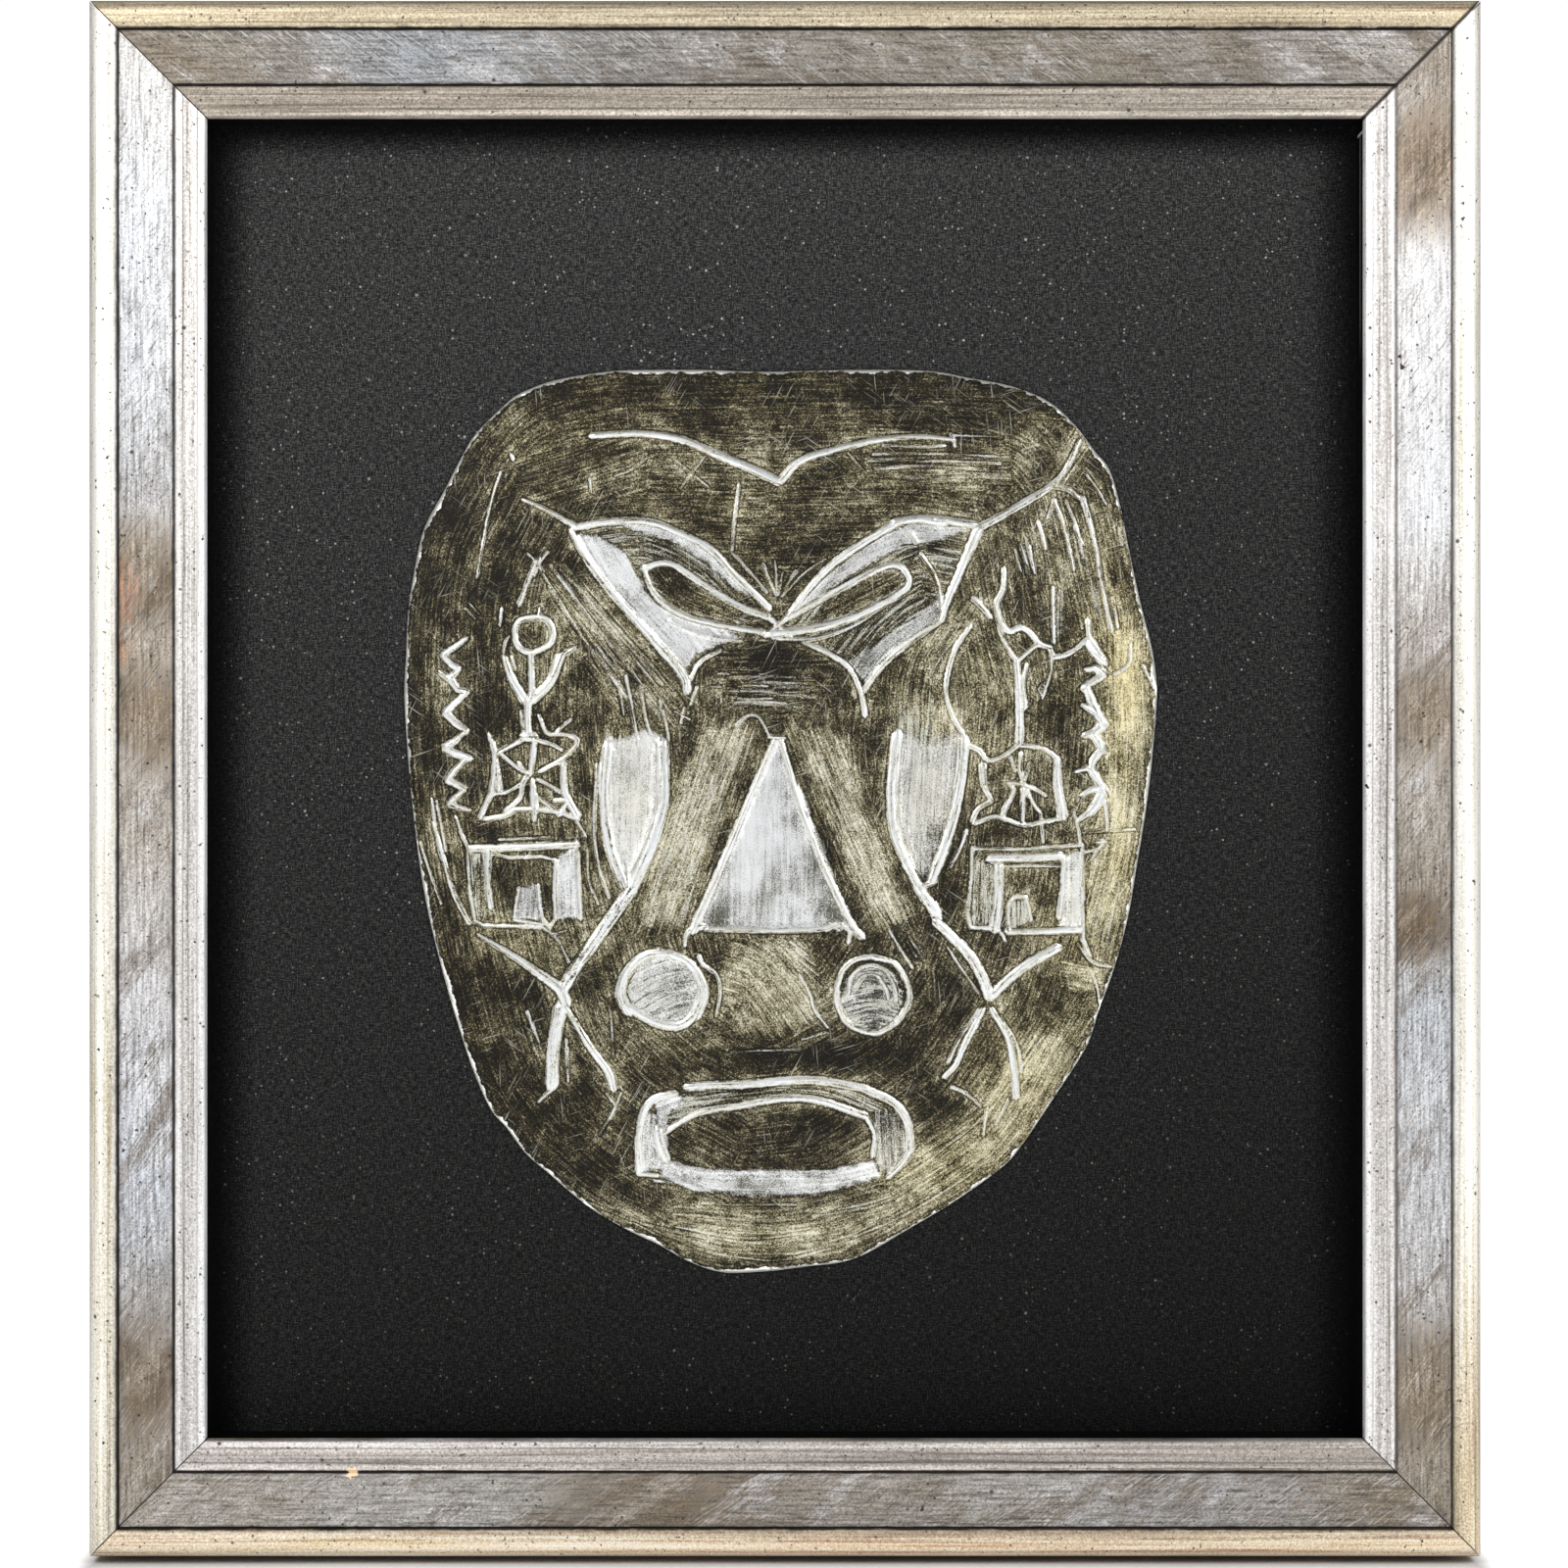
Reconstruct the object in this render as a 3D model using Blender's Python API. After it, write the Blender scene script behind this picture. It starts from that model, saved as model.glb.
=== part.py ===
"""Framed metal mask: an embossed sheet mask on a black board, deep in a mitred picture frame.

Metres, +Z up. The front faces -Y and the wall is the plane y = 0. The origin is the middle of the
flat back of the top rail, where the frame bears on the wall.
"""
import math

import bmesh
import bpy
from mathutils import Vector
from mathutils.geometry import delaunay_2d_cdt

# Space between two pieces that touch
GAP = 0.0003

# Opening of the frame, from sight edge to sight edge
SIGHT_WIDTH = 0.3556
SIGHT_HEIGHT = 0.4064

# Moulding across: a rounded outer band, a sloping panel and a beaded inner band
OUTER_BAND = 0.0081
PANEL_BAND = 0.0169
INNER_BAND = 0.0110
GROOVE_WIDTH = 0.0007
GROOVE_DEPTH = 0.0008

# Moulding in depth, measured forward from its flat back
FRAME_DEPTH = 0.0360
OUTER_SIDE_HEIGHT = 0.0262
OUTER_CREST_SHARE = 0.58
OUTER_EDGE_HEIGHT = 0.0340
PANEL_OUTER_HEIGHT = 0.0334
PANEL_INNER_HEIGHT = 0.0314
PANEL_HOLLOW = 0.0005
INNER_FLAT_HEIGHT = 0.0310
BEAD_WIDTH = 0.0026
BEAD_RISE = 0.0009
SIGHT_EDGE_DROP = 0.0006
LIP_THICKNESS = 0.0034
REBATE_WIDTH = 0.0060

# What the rebate holds, from the lip back to the wall
SPACER_HEIGHT = 0.0150
SPACER_SET_BACK = 0.0004
MOUNT_BOARD_THICKNESS = 0.0030
BACK_BOARD_THICKNESS = 0.0030
BOARD_CLEARANCE = 0.0010

# Steel points that keep the boards in the rebate
POINT_LENGTH = 0.0150
POINT_WIDTH = 0.0080
POINT_THICKNESS = 0.0006
POINTS_ALONG_WIDTH = 2
POINTS_ALONG_HEIGHT = 3

# Sawtooth hanger, riveted to the back board
HANGER_LENGTH = 0.0450
HANGER_WIDTH = 0.0090
HANGER_SHEET = 0.0008
HANGER_RISE = 0.0022
HANGER_FLANGE = 0.0085
HANGER_RAMP = 0.0020
HANGER_TEETH = 9
TOOTH_DEPTH = 0.0014
HANGER_DROP = 0.0300
RIVET_RADIUS = 0.0022
RIVET_RISE = 0.0009
RIVET_SIDES = 14

# Mask sheet
MASK_HEIGHT = 0.2830
MASK_OFFSET_X = -0.0018
MASK_OFFSET_Z = -0.0130
SHEET = 0.0006
DOME_RISE = 0.0046
DOME_POWER = 2.6
NOSE_RISE = 0.0012
NOSE_SLOPE_SHARE = 0.062
RIDGE_WIDTH = 0.0034
RIDGE_HEIGHT = 0.0010
RIM_STEP = 0.0085
STROKE_STEP = 0.0085
GRID_STEP = 0.0090
RIDGE_CLEARANCE = 0.0022
PLAN_MERGE = 0.00003

# The drawing on the mask. Places are (x, z) in thousandths of the mask's height from its middle.
OUTLINE = [
    (-16, 494), (-143, 496), (-219, 490), (-286, 470), (-334, 426), (-369, 363), (-393, 316),
    (-409, 226), (-413, 140), (-405, 25), (-394, -62), (-368, -177), (-338, -273), (-300, -339),
    (-254, -389), (-168, -451), (-102, -485), (-63, -498), (-16, -497), (83, -483), (143, -450),
    (193, -420), (242, -385), (303, -305), (352, -210), (384, -108), (404, 11),
    (415, 81), (411, 188), (386, 295), (364, 386), (326, 435), (256, 478), (163, 495),
    (79, 496),
]

# Open strokes: weight of the ridge, then the points that it runs through
OPEN_STROKES = {
    "left brow": (1.0, [(-207, 423), (-144, 425), (-74, 405), (-1, 373)]),
    "right brow": (1.0, [(8, 380), (22, 395), (100, 417), (192, 419)]),
    "forehead crease": (0.5, [(-44, 367), (-52, 300)]),
    "left temple crease": (0.5, [(-307, 383), (-332, 267)]),
    "left eye spur": (0.8, [(-282, 353), (-233, 327)]),
    "left eye upper edge": (1.0, [(-227, 321), (-144, 328), (-74, 297), (-10, 233)]),
    "left eye outer edge": (1.2, [(-224, 311), (-184, 250), (-104, 159)]),
    "left eye tail": (0.6, [(-96, 160), (-65, 186)]),
    "left eye lower edge": (0.6, [(-120, 209), (-83, 196), (-42, 196)]),
    "right eye upper edge": (1.1, [(10, 225), (38, 261), (106, 313), (162, 328), (222, 324)]),
    "right eye spur": (1.1, [(229, 328), (300, 368), (331, 418)]),
    "right eye outer edge": (1.2, [(218, 311), (198, 272), (180, 224)]),
    "right eye lower edge": (0.8, [(171, 214), (115, 172), (97, 149)]),
    "right eye tail": (0.9, [(29, 193), (79, 165), (92, 120)]),
    "right eye inner edge": (0.7, [(12, 200), (54, 205), (114, 233)]),
    "left philtrum": (0.5, [(-74, -163), (-65, -182), (-67, -211)]),
    "right philtrum": (0.5, [(23, -171), (38, -198), (51, -224)]),
    "left leaf inner edge": (1.5, [(-129, 87), (-126, 31), (-144, -41), (-236, -181)]),
    "left leaf outer edge": (1.2, [(-196, 78), (-193, -3), (-174, -65)]),
    "left cross arm": (1.0, [(-331, -124), (-290, -152), (-246, -187)]),
    "left cross shin": (1.4, [(-241, -202), (-250, -252), (-249, -293)]),
    "left cross foot": (1.0, [(-229, -209), (-207, -249), (-184, -295)]),
    "right leaf outer edge": (1.3, [(203, 89), (195, 23), (187, -44), (169, -66)]),
    "right leaf inner edge": (1.4, [(126, 83), (129, -12), (157, -77), (224, -196)]),
    "right cross arm": (1.3, [(310, -140), (280, -149), (237, -189)]),
    "right cross shin": (1.2, [(223, -211), (205, -244), (181, -282)]),
    "right cross foot": (0.9, [(237, -211), (254, -246), (261, -305)]),
    "right upper leaf": (0.7, [(210, 214), (183, 141), (200, 103)]),
    "left petal": (0.6, [(-268, 284), (-280, 255), (-286, 238)]),
    "right petal": (0.6, [(247, 273), (239, 244), (240, 220)]),
}

# Closed strokes: weight, then the points of the loop
CLOSED_STROKES = {
    "left eye": (0.9, [(-147, 277), (-120, 285), (-45, 239), (-16, 221), (-73, 212), (-109, 227)]),
    "right eye": (0.9, [(14, 221), (79, 261), (130, 279), (142, 260), (114, 237), (38, 210)]),
    "outer lip": (1.2, [
        (-154, -389), (-152, -326), (-114, -293), (-42, -291), (43, -285), (127, -308),
        (145, -359), (105, -397), (-5, -410), (-103, -406),
    ]),
    "inner lip": (1.1, [
        (-126, -345), (-49, -317), (43, -312), (97, -331), (102, -371), (-5, -387),
        (-101, -380),
    ]),
}

NOSE_TRIANGLE = [(-4, 90), (-100, -126), (89, -127)]
NOSE_FORM = [(-90, 159), (-12, 200), (79, 159), (141, -176), (103, -233), (-124, -233), (-168, -176)]

# Nostril rings, flowers, shields, houses and zigzags stand left and right of the nose
NOSTRIL_LEFT = (-129, -186)
NOSTRIL_RIGHT = (102, -192)
FLOWER_LEFT = (-273, 205)
FLOWER_RIGHT = (268, 195)
SHIELD_LEFT = (-273, 49)
SHIELD_RIGHT = (266, 37)
HOUSE_LEFT = (-280, -68)
HOUSE_RIGHT = (272, -77)
ZIGZAG_LEFT_TOP = (-356, 201)
ZIGZAG_LEFT_FOOT = (-352, 9)
ZIGZAG_RIGHT_TOP = (350, 219)
ZIGZAG_RIGHT_FOOT = (334, -1)

# Sizes of those figures, in the same thousandths
NOSTRIL_LEFT_RADIUS = 44
NOSTRIL_RIGHT_RADIUS = 40
NOSTRIL_CORE_SHARE = 0.62
FLOWER_RADIUS = 17
FLOWER_STEM = 112
FLOWER_LEAF = 44
SHIELD_SIZE = 88
HOUSE_WIDTH = 122
HOUSE_HEIGHT = 92
ZIGZAG_SWING = 13
ZIGZAG_TURNS = 15

# Figure outlines as shares of their own size, from their middle
SHIELD_LOOP = [
    (-0.44, 0.28), (0.0, 0.44), (0.40, 0.28), (0.38, -0.14),
    (0.52, -0.54), (0.0, -0.44), (-0.52, -0.54), (-0.42, -0.14),
]
SHIELD_SPOKES = [(-0.36, 0.22), (0.0, 0.36), (0.32, 0.22), (0.30, -0.26), (0.0, -0.36), (-0.34, -0.26)]
HOUSE_ARCH = [(-0.28, -0.38), (-0.28, 0.28), (0.26, 0.28), (0.26, -0.38)]
HOUSE_DOOR = [(-0.10, -0.36), (-0.10, -0.08), (0.07, -0.08), (0.07, -0.36)]

# Worked out from the sizes above
RAIL_WIDTH = OUTER_BAND + PANEL_BAND + INNER_BAND
OUTER_WIDTH = SIGHT_WIDTH + 2 * RAIL_WIDTH
OUTER_HEIGHT = SIGHT_HEIGHT + 2 * RAIL_WIDTH
BACK_FACE_WIDTH = RAIL_WIDTH - REBATE_WIDTH
CENTRE_DROP = OUTER_HEIGHT / 2 - BACK_FACE_WIDTH / 2
SIGHT_EDGE_HEIGHT = INNER_FLAT_HEIGHT - SIGHT_EDGE_DROP
LIP_BACK = SIGHT_EDGE_HEIGHT - LIP_THICKNESS
SPACER_FRONT = LIP_BACK - GAP
MOUNT_BOARD_FRONT = SPACER_FRONT - SPACER_HEIGHT - GAP
BACK_BOARD_FRONT = MOUNT_BOARD_FRONT - MOUNT_BOARD_THICKNESS - GAP
BACK_BOARD_BACK = BACK_BOARD_FRONT - BACK_BOARD_THICKNESS
REBATE_HALF_WIDTH = SIGHT_WIDTH / 2 + REBATE_WIDTH
REBATE_HALF_HEIGHT = SIGHT_HEIGHT / 2 + REBATE_WIDTH
UNIT = MASK_HEIGHT / 1000

for leftover in list(bpy.data.objects):
    bpy.data.objects.remove(leftover)


def finish(colour, roughness, metallic):
    """The numbers of one Principled finish."""
    return {"Base Color": (*colour, 1.0), "Roughness": roughness, "Metallic": metallic}


RAIL_FINISH = finish((0.42, 0.40, 0.36), 0.42, 0.6)
SPACER_FINISH = finish((0.010, 0.010, 0.011), 0.8, 0.0)
BOARD_FINISH = finish((0.022, 0.022, 0.024), 0.9, 0.0)
MASK_FINISH = finish((0.36, 0.34, 0.26), 0.38, 0.9)
BACK_FINISH = finish((0.30, 0.19, 0.11), 0.85, 0.0)
STEEL_FINISH = finish((0.52, 0.52, 0.50), 0.35, 1.0)


def add_part(name, bm, numbers, parent):
    """Make the mesh a named object with a material of its own, under its parent."""
    bmesh.ops.recalc_face_normals(bm, faces=bm.faces)
    mesh = bpy.data.meshes.new(name)
    bm.to_mesh(mesh)
    bm.free()
    material = bpy.data.materials.new(name)
    material.use_nodes = True
    shader = material.node_tree.nodes["Principled BSDF"]
    for socket, value in numbers.items():
        shader.inputs[socket].default_value = value
    mesh.materials.append(material)
    part = bpy.data.objects.new(name, mesh)
    part.parent = parent
    bpy.context.collection.objects.link(part)
    return part


def add_box(bm, low, high):
    """A block between two opposite corners."""
    made = bmesh.ops.create_cube(bm, size=1.0)["verts"]
    size = Vector(high) - Vector(low)
    bmesh.ops.scale(bm, vec=size, verts=made)
    bmesh.ops.translate(bm, vec=(Vector(low) + Vector(high)) / 2, verts=made)


def quarter_turn(centre, reach, start, steps):
    """Points of a quarter ellipse about a centre, from a start angle, turning clockwise."""
    turns = [start - math.pi / 2 * step / steps for step in range(steps + 1)]
    return [(centre[0] + reach[0] * math.cos(t), centre[1] + reach[1] * math.sin(t)) for t in turns]


def bead(start, foot_height):
    """A low round bead across BEAD_WIDTH."""
    steps = 6
    angles = [math.pi * step / steps for step in range(steps + 1)]
    middle = start + BEAD_WIDTH / 2
    return [(middle - BEAD_WIDTH / 2 * math.cos(a), foot_height + BEAD_RISE * math.sin(a)) for a in angles]


def moulding_profile():
    """The moulding's section as (distance in from the outside, height above the back)."""
    crest = OUTER_BAND * OUTER_CREST_SHARE
    groove = GROOVE_WIDTH / 2
    first = OUTER_BAND
    second = OUTER_BAND + PANEL_BAND
    profile = [(0.0, 0.0)]
    profile += quarter_turn(
        (crest, OUTER_SIDE_HEIGHT), (crest, FRAME_DEPTH - OUTER_SIDE_HEIGHT), math.pi, 6)
    inner_reach = (first - groove - crest, FRAME_DEPTH - OUTER_EDGE_HEIGHT)
    profile += quarter_turn((crest, OUTER_EDGE_HEIGHT), inner_reach, math.pi / 2, 4)[1:]
    profile.append((first, PANEL_OUTER_HEIGHT - GROOVE_DEPTH))
    panel_steps = 6
    for step in range(panel_steps + 1):
        share = step / panel_steps
        across = first + groove + share * (PANEL_BAND - GROOVE_WIDTH)
        slope = PANEL_OUTER_HEIGHT + share * (PANEL_INNER_HEIGHT - PANEL_OUTER_HEIGHT)
        profile.append((across, slope - PANEL_HOLLOW * math.sin(math.pi * share)))
    profile.append((second, PANEL_INNER_HEIGHT - GROOVE_DEPTH))
    profile += bead(second + groove, INNER_FLAT_HEIGHT)
    sight_bead = bead(RAIL_WIDTH - BEAD_WIDTH, INNER_FLAT_HEIGHT)
    profile += sight_bead[:-1]
    profile.append((RAIL_WIDTH, SIGHT_EDGE_HEIGHT))
    profile.append((RAIL_WIDTH, LIP_BACK))
    profile.append((BACK_FACE_WIDTH, LIP_BACK))
    profile.append((BACK_FACE_WIDTH, 0.0))
    return profile


def make_rail(name, half_length, half_across, turn, parent):
    """A mitred rail, modelled along X with its outside up, then turned to its side of the frame."""
    bm = bmesh.new()
    mitre_gap = GAP / math.sqrt(2)
    profile = moulding_profile()
    section = [bm.verts.new((mitre_gap - (half_length - u), -h, half_across - u)) for u, h in profile]
    end = bm.faces.new(section)
    made = bmesh.ops.extrude_face_region(bm, geom=[end])["geom"]
    for vert in made:
        if isinstance(vert, bmesh.types.BMVert):
            vert.co.x = -vert.co.x
    bmesh.ops.triangulate(bm, faces=[f for f in bm.faces if len(f.verts) > 4])
    rail = add_part(name, bm, RAIL_FINISH, parent)
    rail.rotation_euler = (0.0, turn, 0.0)
    return rail


def make_rails(parent):
    """The four lengths of moulding."""
    half_width, half_height = OUTER_WIDTH / 2, OUTER_HEIGHT / 2
    make_rail("frame_rail_top", half_width, half_height, 0.0, parent)
    make_rail("frame_rail_right", half_height, half_width, math.pi / 2, parent)
    make_rail("frame_rail_bottom", half_width, half_height, math.pi, parent)
    make_rail("frame_rail_left", half_height, half_width, -math.pi / 2, parent)


def make_spacers(parent):
    """Black strips behind the lip: two across the whole opening, two between them."""
    out_x, out_z = REBATE_HALF_WIDTH - GAP, REBATE_HALF_HEIGHT - GAP
    in_x, in_z = SIGHT_WIDTH / 2 + SPACER_SET_BACK, SIGHT_HEIGHT / 2 + SPACER_SET_BACK
    front, back = -SPACER_FRONT, SPACER_HEIGHT - SPACER_FRONT
    corners = {
        "spacer_top": ((-out_x, front, in_z), (out_x, back, out_z)),
        "spacer_bottom": ((-out_x, front, -out_z), (out_x, back, -in_z)),
        "spacer_left": ((-out_x, front, GAP - in_z), (-in_x, back, in_z - GAP)),
        "spacer_right": ((in_x, front, GAP - in_z), (out_x, back, in_z - GAP)),
    }
    for name, (low, high) in corners.items():
        bm = bmesh.new()
        add_box(bm, low, high)
        add_part(name, bm, SPACER_FINISH, parent)


def make_board(name, front_height, thickness, numbers, parent):
    """A board that fills the rebate, its front at a height above the wall."""
    half_x = REBATE_HALF_WIDTH - BOARD_CLEARANCE
    half_z = REBATE_HALF_HEIGHT - BOARD_CLEARANCE
    bm = bmesh.new()
    add_box(bm, (-half_x, -front_height, -half_z), (half_x, thickness - front_height, half_z))
    add_part(name, bm, numbers, parent)


def make_points(parent):
    """Steel points on the back board, their roots at the wall of the rebate."""
    sides = {
        "top": (POINTS_ALONG_WIDTH, SIGHT_WIDTH, REBATE_HALF_HEIGHT, 0.0),
        "right": (POINTS_ALONG_HEIGHT, SIGHT_HEIGHT, REBATE_HALF_WIDTH, math.pi / 2),
        "bottom": (POINTS_ALONG_WIDTH, SIGHT_WIDTH, REBATE_HALF_HEIGHT, math.pi),
        "left": (POINTS_ALONG_HEIGHT, SIGHT_HEIGHT, REBATE_HALF_WIDTH, -math.pi / 2),
    }
    near = GAP - BACK_BOARD_BACK
    far = near + POINT_THICKNESS
    half = POINT_WIDTH / 2
    for side, (count, run, wall, turn) in sides.items():
        root = wall - GAP
        blade = [(-half, root), (half, root), (half * 0.8, root - POINT_LENGTH * 0.6),
                 (0.0, root - POINT_LENGTH), (-half * 0.8, root - POINT_LENGTH * 0.6)]
        for place in range(count):
            along = run * ((place + 0.5) / count - 0.5)
            bm = bmesh.new()
            face = bm.faces.new([bm.verts.new((along + x, near, z)) for x, z in blade])
            made = bmesh.ops.extrude_face_region(bm, geom=[face])["geom"]
            grown = [v for v in made if isinstance(v, bmesh.types.BMVert)]
            bmesh.ops.translate(bm, vec=(0.0, far - near, 0.0), verts=grown)
            point = add_part(f"board_point_{side}_{place + 1}", bm, STEEL_FINISH, parent)
            point.rotation_euler = (0.0, turn, 0.0)


def hanger_columns():
    """Where the hanger's sheet is along its length: (x, rise off the board, lower edge)."""
    half = HANGER_LENGTH / 2
    step_in = half - HANGER_FLANGE
    raised = step_in - HANGER_RAMP
    lower = -HANGER_WIDTH / 2
    columns = [(-half, 0.0, lower), (-step_in, 0.0, lower)]
    for notch in range(2 * HANGER_TEETH + 1):
        x = raised * (notch / HANGER_TEETH - 1)
        columns.append((x, HANGER_RISE, lower + TOOTH_DEPTH * (notch % 2)))
    columns += [(step_in, 0.0, lower), (half, 0.0, lower)]
    return columns


def make_hanger(parent):
    """A sawtooth hanger: flat ends on the board, a raised middle with teeth along its lower edge."""
    bm = bmesh.new()
    near = GAP - BACK_BOARD_BACK
    middle = SIGHT_HEIGHT / 2 - HANGER_DROP
    rings = []
    for x, rise, lower in hanger_columns():
        inner, outer = near + rise, near + rise + HANGER_SHEET
        ring = [(x, inner, middle + lower), (x, outer, middle + lower),
                (x, outer, middle + HANGER_WIDTH / 2), (x, inner, middle + HANGER_WIDTH / 2)]
        rings.append([bm.verts.new(corner) for corner in ring])
    for ring, following in zip(rings, rings[1:]):
        for a in range(4):
            b = (a + 1) % 4
            bm.faces.new((ring[a], ring[b], following[b], following[a]))
    bm.faces.new(rings[0])
    bm.faces.new(rings[-1])
    add_part("hanger", bm, STEEL_FINISH, parent)
    for side, sign in (("left", -1), ("right", 1)):
        bm = bmesh.new()
        made = bmesh.ops.create_cone(
            bm, cap_ends=True, segments=RIVET_SIDES, radius1=RIVET_RADIUS,
            radius2=RIVET_RADIUS * 0.6, depth=RIVET_RISE)["verts"]
        bmesh.ops.rotate(bm, verts=made, matrix=TOWARDS_WALL, cent=(0.0, 0.0, 0.0))
        x = sign * (HANGER_LENGTH - HANGER_FLANGE) / 2
        y = near + HANGER_SHEET + GAP + RIVET_RISE / 2
        bmesh.ops.translate(bm, vec=(x, y, middle), verts=made)
        add_part(f"hanger_rivet_{side}", bm, STEEL_FINISH, parent)


# Turns a shape that points along +Z to point along +Y, at the wall
TOWARDS_WALL = Vector((0.0, 0.0, 1.0)).rotation_difference(Vector((0.0, 1.0, 0.0))).to_matrix()


def on_sheet(points):
    """Places of the drawing as plan vectors in metres."""
    return [Vector((x * UNIT, z * UNIT)) for x, z in points]


def through(points, closed, step):
    """A smooth line through the points (Catmull-Rom), cut into lengths of about one step."""
    count = len(points)
    spans = count if closed else count - 1
    line = []
    for i in range(spans):
        a, b = points[i], points[(i + 1) % count]
        before = points[i - 1] if closed or i > 0 else a * 2 - b
        after = points[(i + 2) % count] if closed or i + 2 < count else b * 2 - a
        pieces = max(1, round((b - a).length / step))
        for j in range(pieces):
            t = j / pieces
            line.append(0.5 * (2 * a + (b - before) * t + (2 * before - 5 * a + 4 * b - after) * t ** 2
                               + (3 * a - before - 3 * b + after) * t ** 3))
    if not closed:
        line.append(points[-1])
    return line


def straight(points, closed, step):
    """The same cutting, with the points joined by straight lines."""
    line = []
    ends = points[1:] + points[:1] if closed else points[1:]
    for a, b in zip(points, ends):
        pieces = max(1, round((b - a).length / step))
        line += [a.lerp(b, j / pieces) for j in range(pieces)]
    if not closed:
        line.append(points[-1])
    return line


def ring(centre, radius):
    """A circle about a place of the drawing."""
    middle = on_sheet([centre])[0]
    reach = radius * UNIT
    count = max(10, round(math.tau * reach / STROKE_STEP))
    angles = [math.tau * k / count for k in range(count)]
    return [middle + Vector((math.cos(a), math.sin(a))) * reach for a in angles]


def figure(centre, shares, width, height):
    """The places of a small figure, given as shares of its own size."""
    return on_sheet([(centre[0] + x * width, centre[1] + z * height) for x, z in shares])


def flower_strokes(centre, side):
    """A ring on a stem with two leaves; side is -1 for the left flower and 1 for the right."""
    x, z = centre
    foot = z - FLOWER_STEM
    fork = z - FLOWER_STEM * 0.55
    stem = on_sheet([(x, z - FLOWER_RADIUS), (x + 2, fork), (x - 4, foot)])
    strokes = [(0.7, True, ring(centre, FLOWER_RADIUS)), (0.9, False, through(stem, False, STROKE_STEP))]
    for leaf_side, lift in ((-1, 0.75), (1, 1.0)):
        tip_x = x + leaf_side * side * FLOWER_LEAF * 0.8
        leaf = on_sheet([(tip_x, fork + FLOWER_LEAF * lift),
                         (x + leaf_side * side * FLOWER_LEAF * 0.55, fork + FLOWER_LEAF * 0.35),
                         (x + leaf_side * side * 9, fork + 2)])
        strokes.append((0.8, False, through(leaf, False, STROKE_STEP)))
    return strokes


def shield_strokes(centre):
    """A pinched square with spokes from its middle."""
    loop = figure(centre, SHIELD_LOOP, SHIELD_SIZE, SHIELD_SIZE)
    middle = on_sheet([centre])[0]
    strokes = [(0.8, True, straight(loop, True, STROKE_STEP))]
    for end in figure(centre, SHIELD_SPOKES, SHIELD_SIZE, SHIELD_SIZE):
        strokes.append((0.6, False, [middle, end]))
    return strokes


def house_strokes(centre):
    """A square wall with a tall arch inside it and a small door."""
    wall = figure(centre, [(-0.5, -0.5), (-0.5, 0.5), (0.5, 0.5), (0.5, -0.5)], HOUSE_WIDTH, HOUSE_HEIGHT)
    arch = figure(centre, HOUSE_ARCH, HOUSE_WIDTH, HOUSE_HEIGHT)
    door = figure(centre, HOUSE_DOOR, HOUSE_WIDTH, HOUSE_HEIGHT)
    return [
        (0.9, True, straight(wall, True, STROKE_STEP)),
        (1.0, False, straight(arch, False, STROKE_STEP)),
        (0.6, False, straight(door, False, STROKE_STEP)),
    ]


def zigzag_stroke(top, foot):
    """A run of short slants from top to foot."""
    start, end = on_sheet([top, foot])
    swing = ZIGZAG_SWING * UNIT
    points = []
    for turn in range(ZIGZAG_TURNS + 1):
        place = start.lerp(end, turn / ZIGZAG_TURNS)
        points.append(place + Vector((swing if turn % 2 == 0 else -swing, 0.0)))
    return (0.8, False, points)


def all_strokes():
    """Every raised line of the mask as (weight, closed, plan points)."""
    strokes = []
    for weight, points in OPEN_STROKES.values():
        strokes.append((weight, False, through(on_sheet(points), False, STROKE_STEP)))
    for weight, points in CLOSED_STROKES.values():
        strokes.append((weight, True, through(on_sheet(points), True, STROKE_STEP)))
    strokes.append((1.3, True, straight(on_sheet(NOSE_TRIANGLE), True, STROKE_STEP)))
    for centre, radius in ((NOSTRIL_LEFT, NOSTRIL_LEFT_RADIUS), (NOSTRIL_RIGHT, NOSTRIL_RIGHT_RADIUS)):
        strokes.append((1.4, True, ring(centre, radius)))
        strokes.append((0.9, True, ring(centre, radius * NOSTRIL_CORE_SHARE)))
    strokes += flower_strokes(FLOWER_LEFT, -1) + flower_strokes(FLOWER_RIGHT, 1)
    strokes += shield_strokes(SHIELD_LEFT) + shield_strokes(SHIELD_RIGHT)
    strokes += house_strokes(HOUSE_LEFT) + house_strokes(HOUSE_RIGHT)
    strokes.append(zigzag_stroke(ZIGZAG_LEFT_TOP, ZIGZAG_LEFT_FOOT))
    strokes.append(zigzag_stroke(ZIGZAG_RIGHT_TOP, ZIGZAG_RIGHT_FOOT))
    return strokes


def segments_of(points, closed):
    """Each straight length of a line as its two ends."""
    ends = points[1:] + points[:1] if closed else points[1:]
    return list(zip(points, ends))


def distance(spot, segments):
    """How far a spot is from the nearest of the segments."""
    nearest = math.inf
    for a, b in segments:
        run = b - a
        share = min(1.0, max(0.0, (spot - a).dot(run) / max(run.length_squared, 1e-12)))
        nearest = min(nearest, (spot - a - run * share).length)
    return nearest


def inside(spot, loop):
    """Whether a spot lies inside a closed loop."""
    within = False
    for a, b in segments_of(loop, True):
        if (a.y > spot.y) != (b.y > spot.y):
            if spot.x < a.x + (b.x - a.x) * (spot.y - a.y) / (b.y - a.y):
                within = not within
    return within


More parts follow.
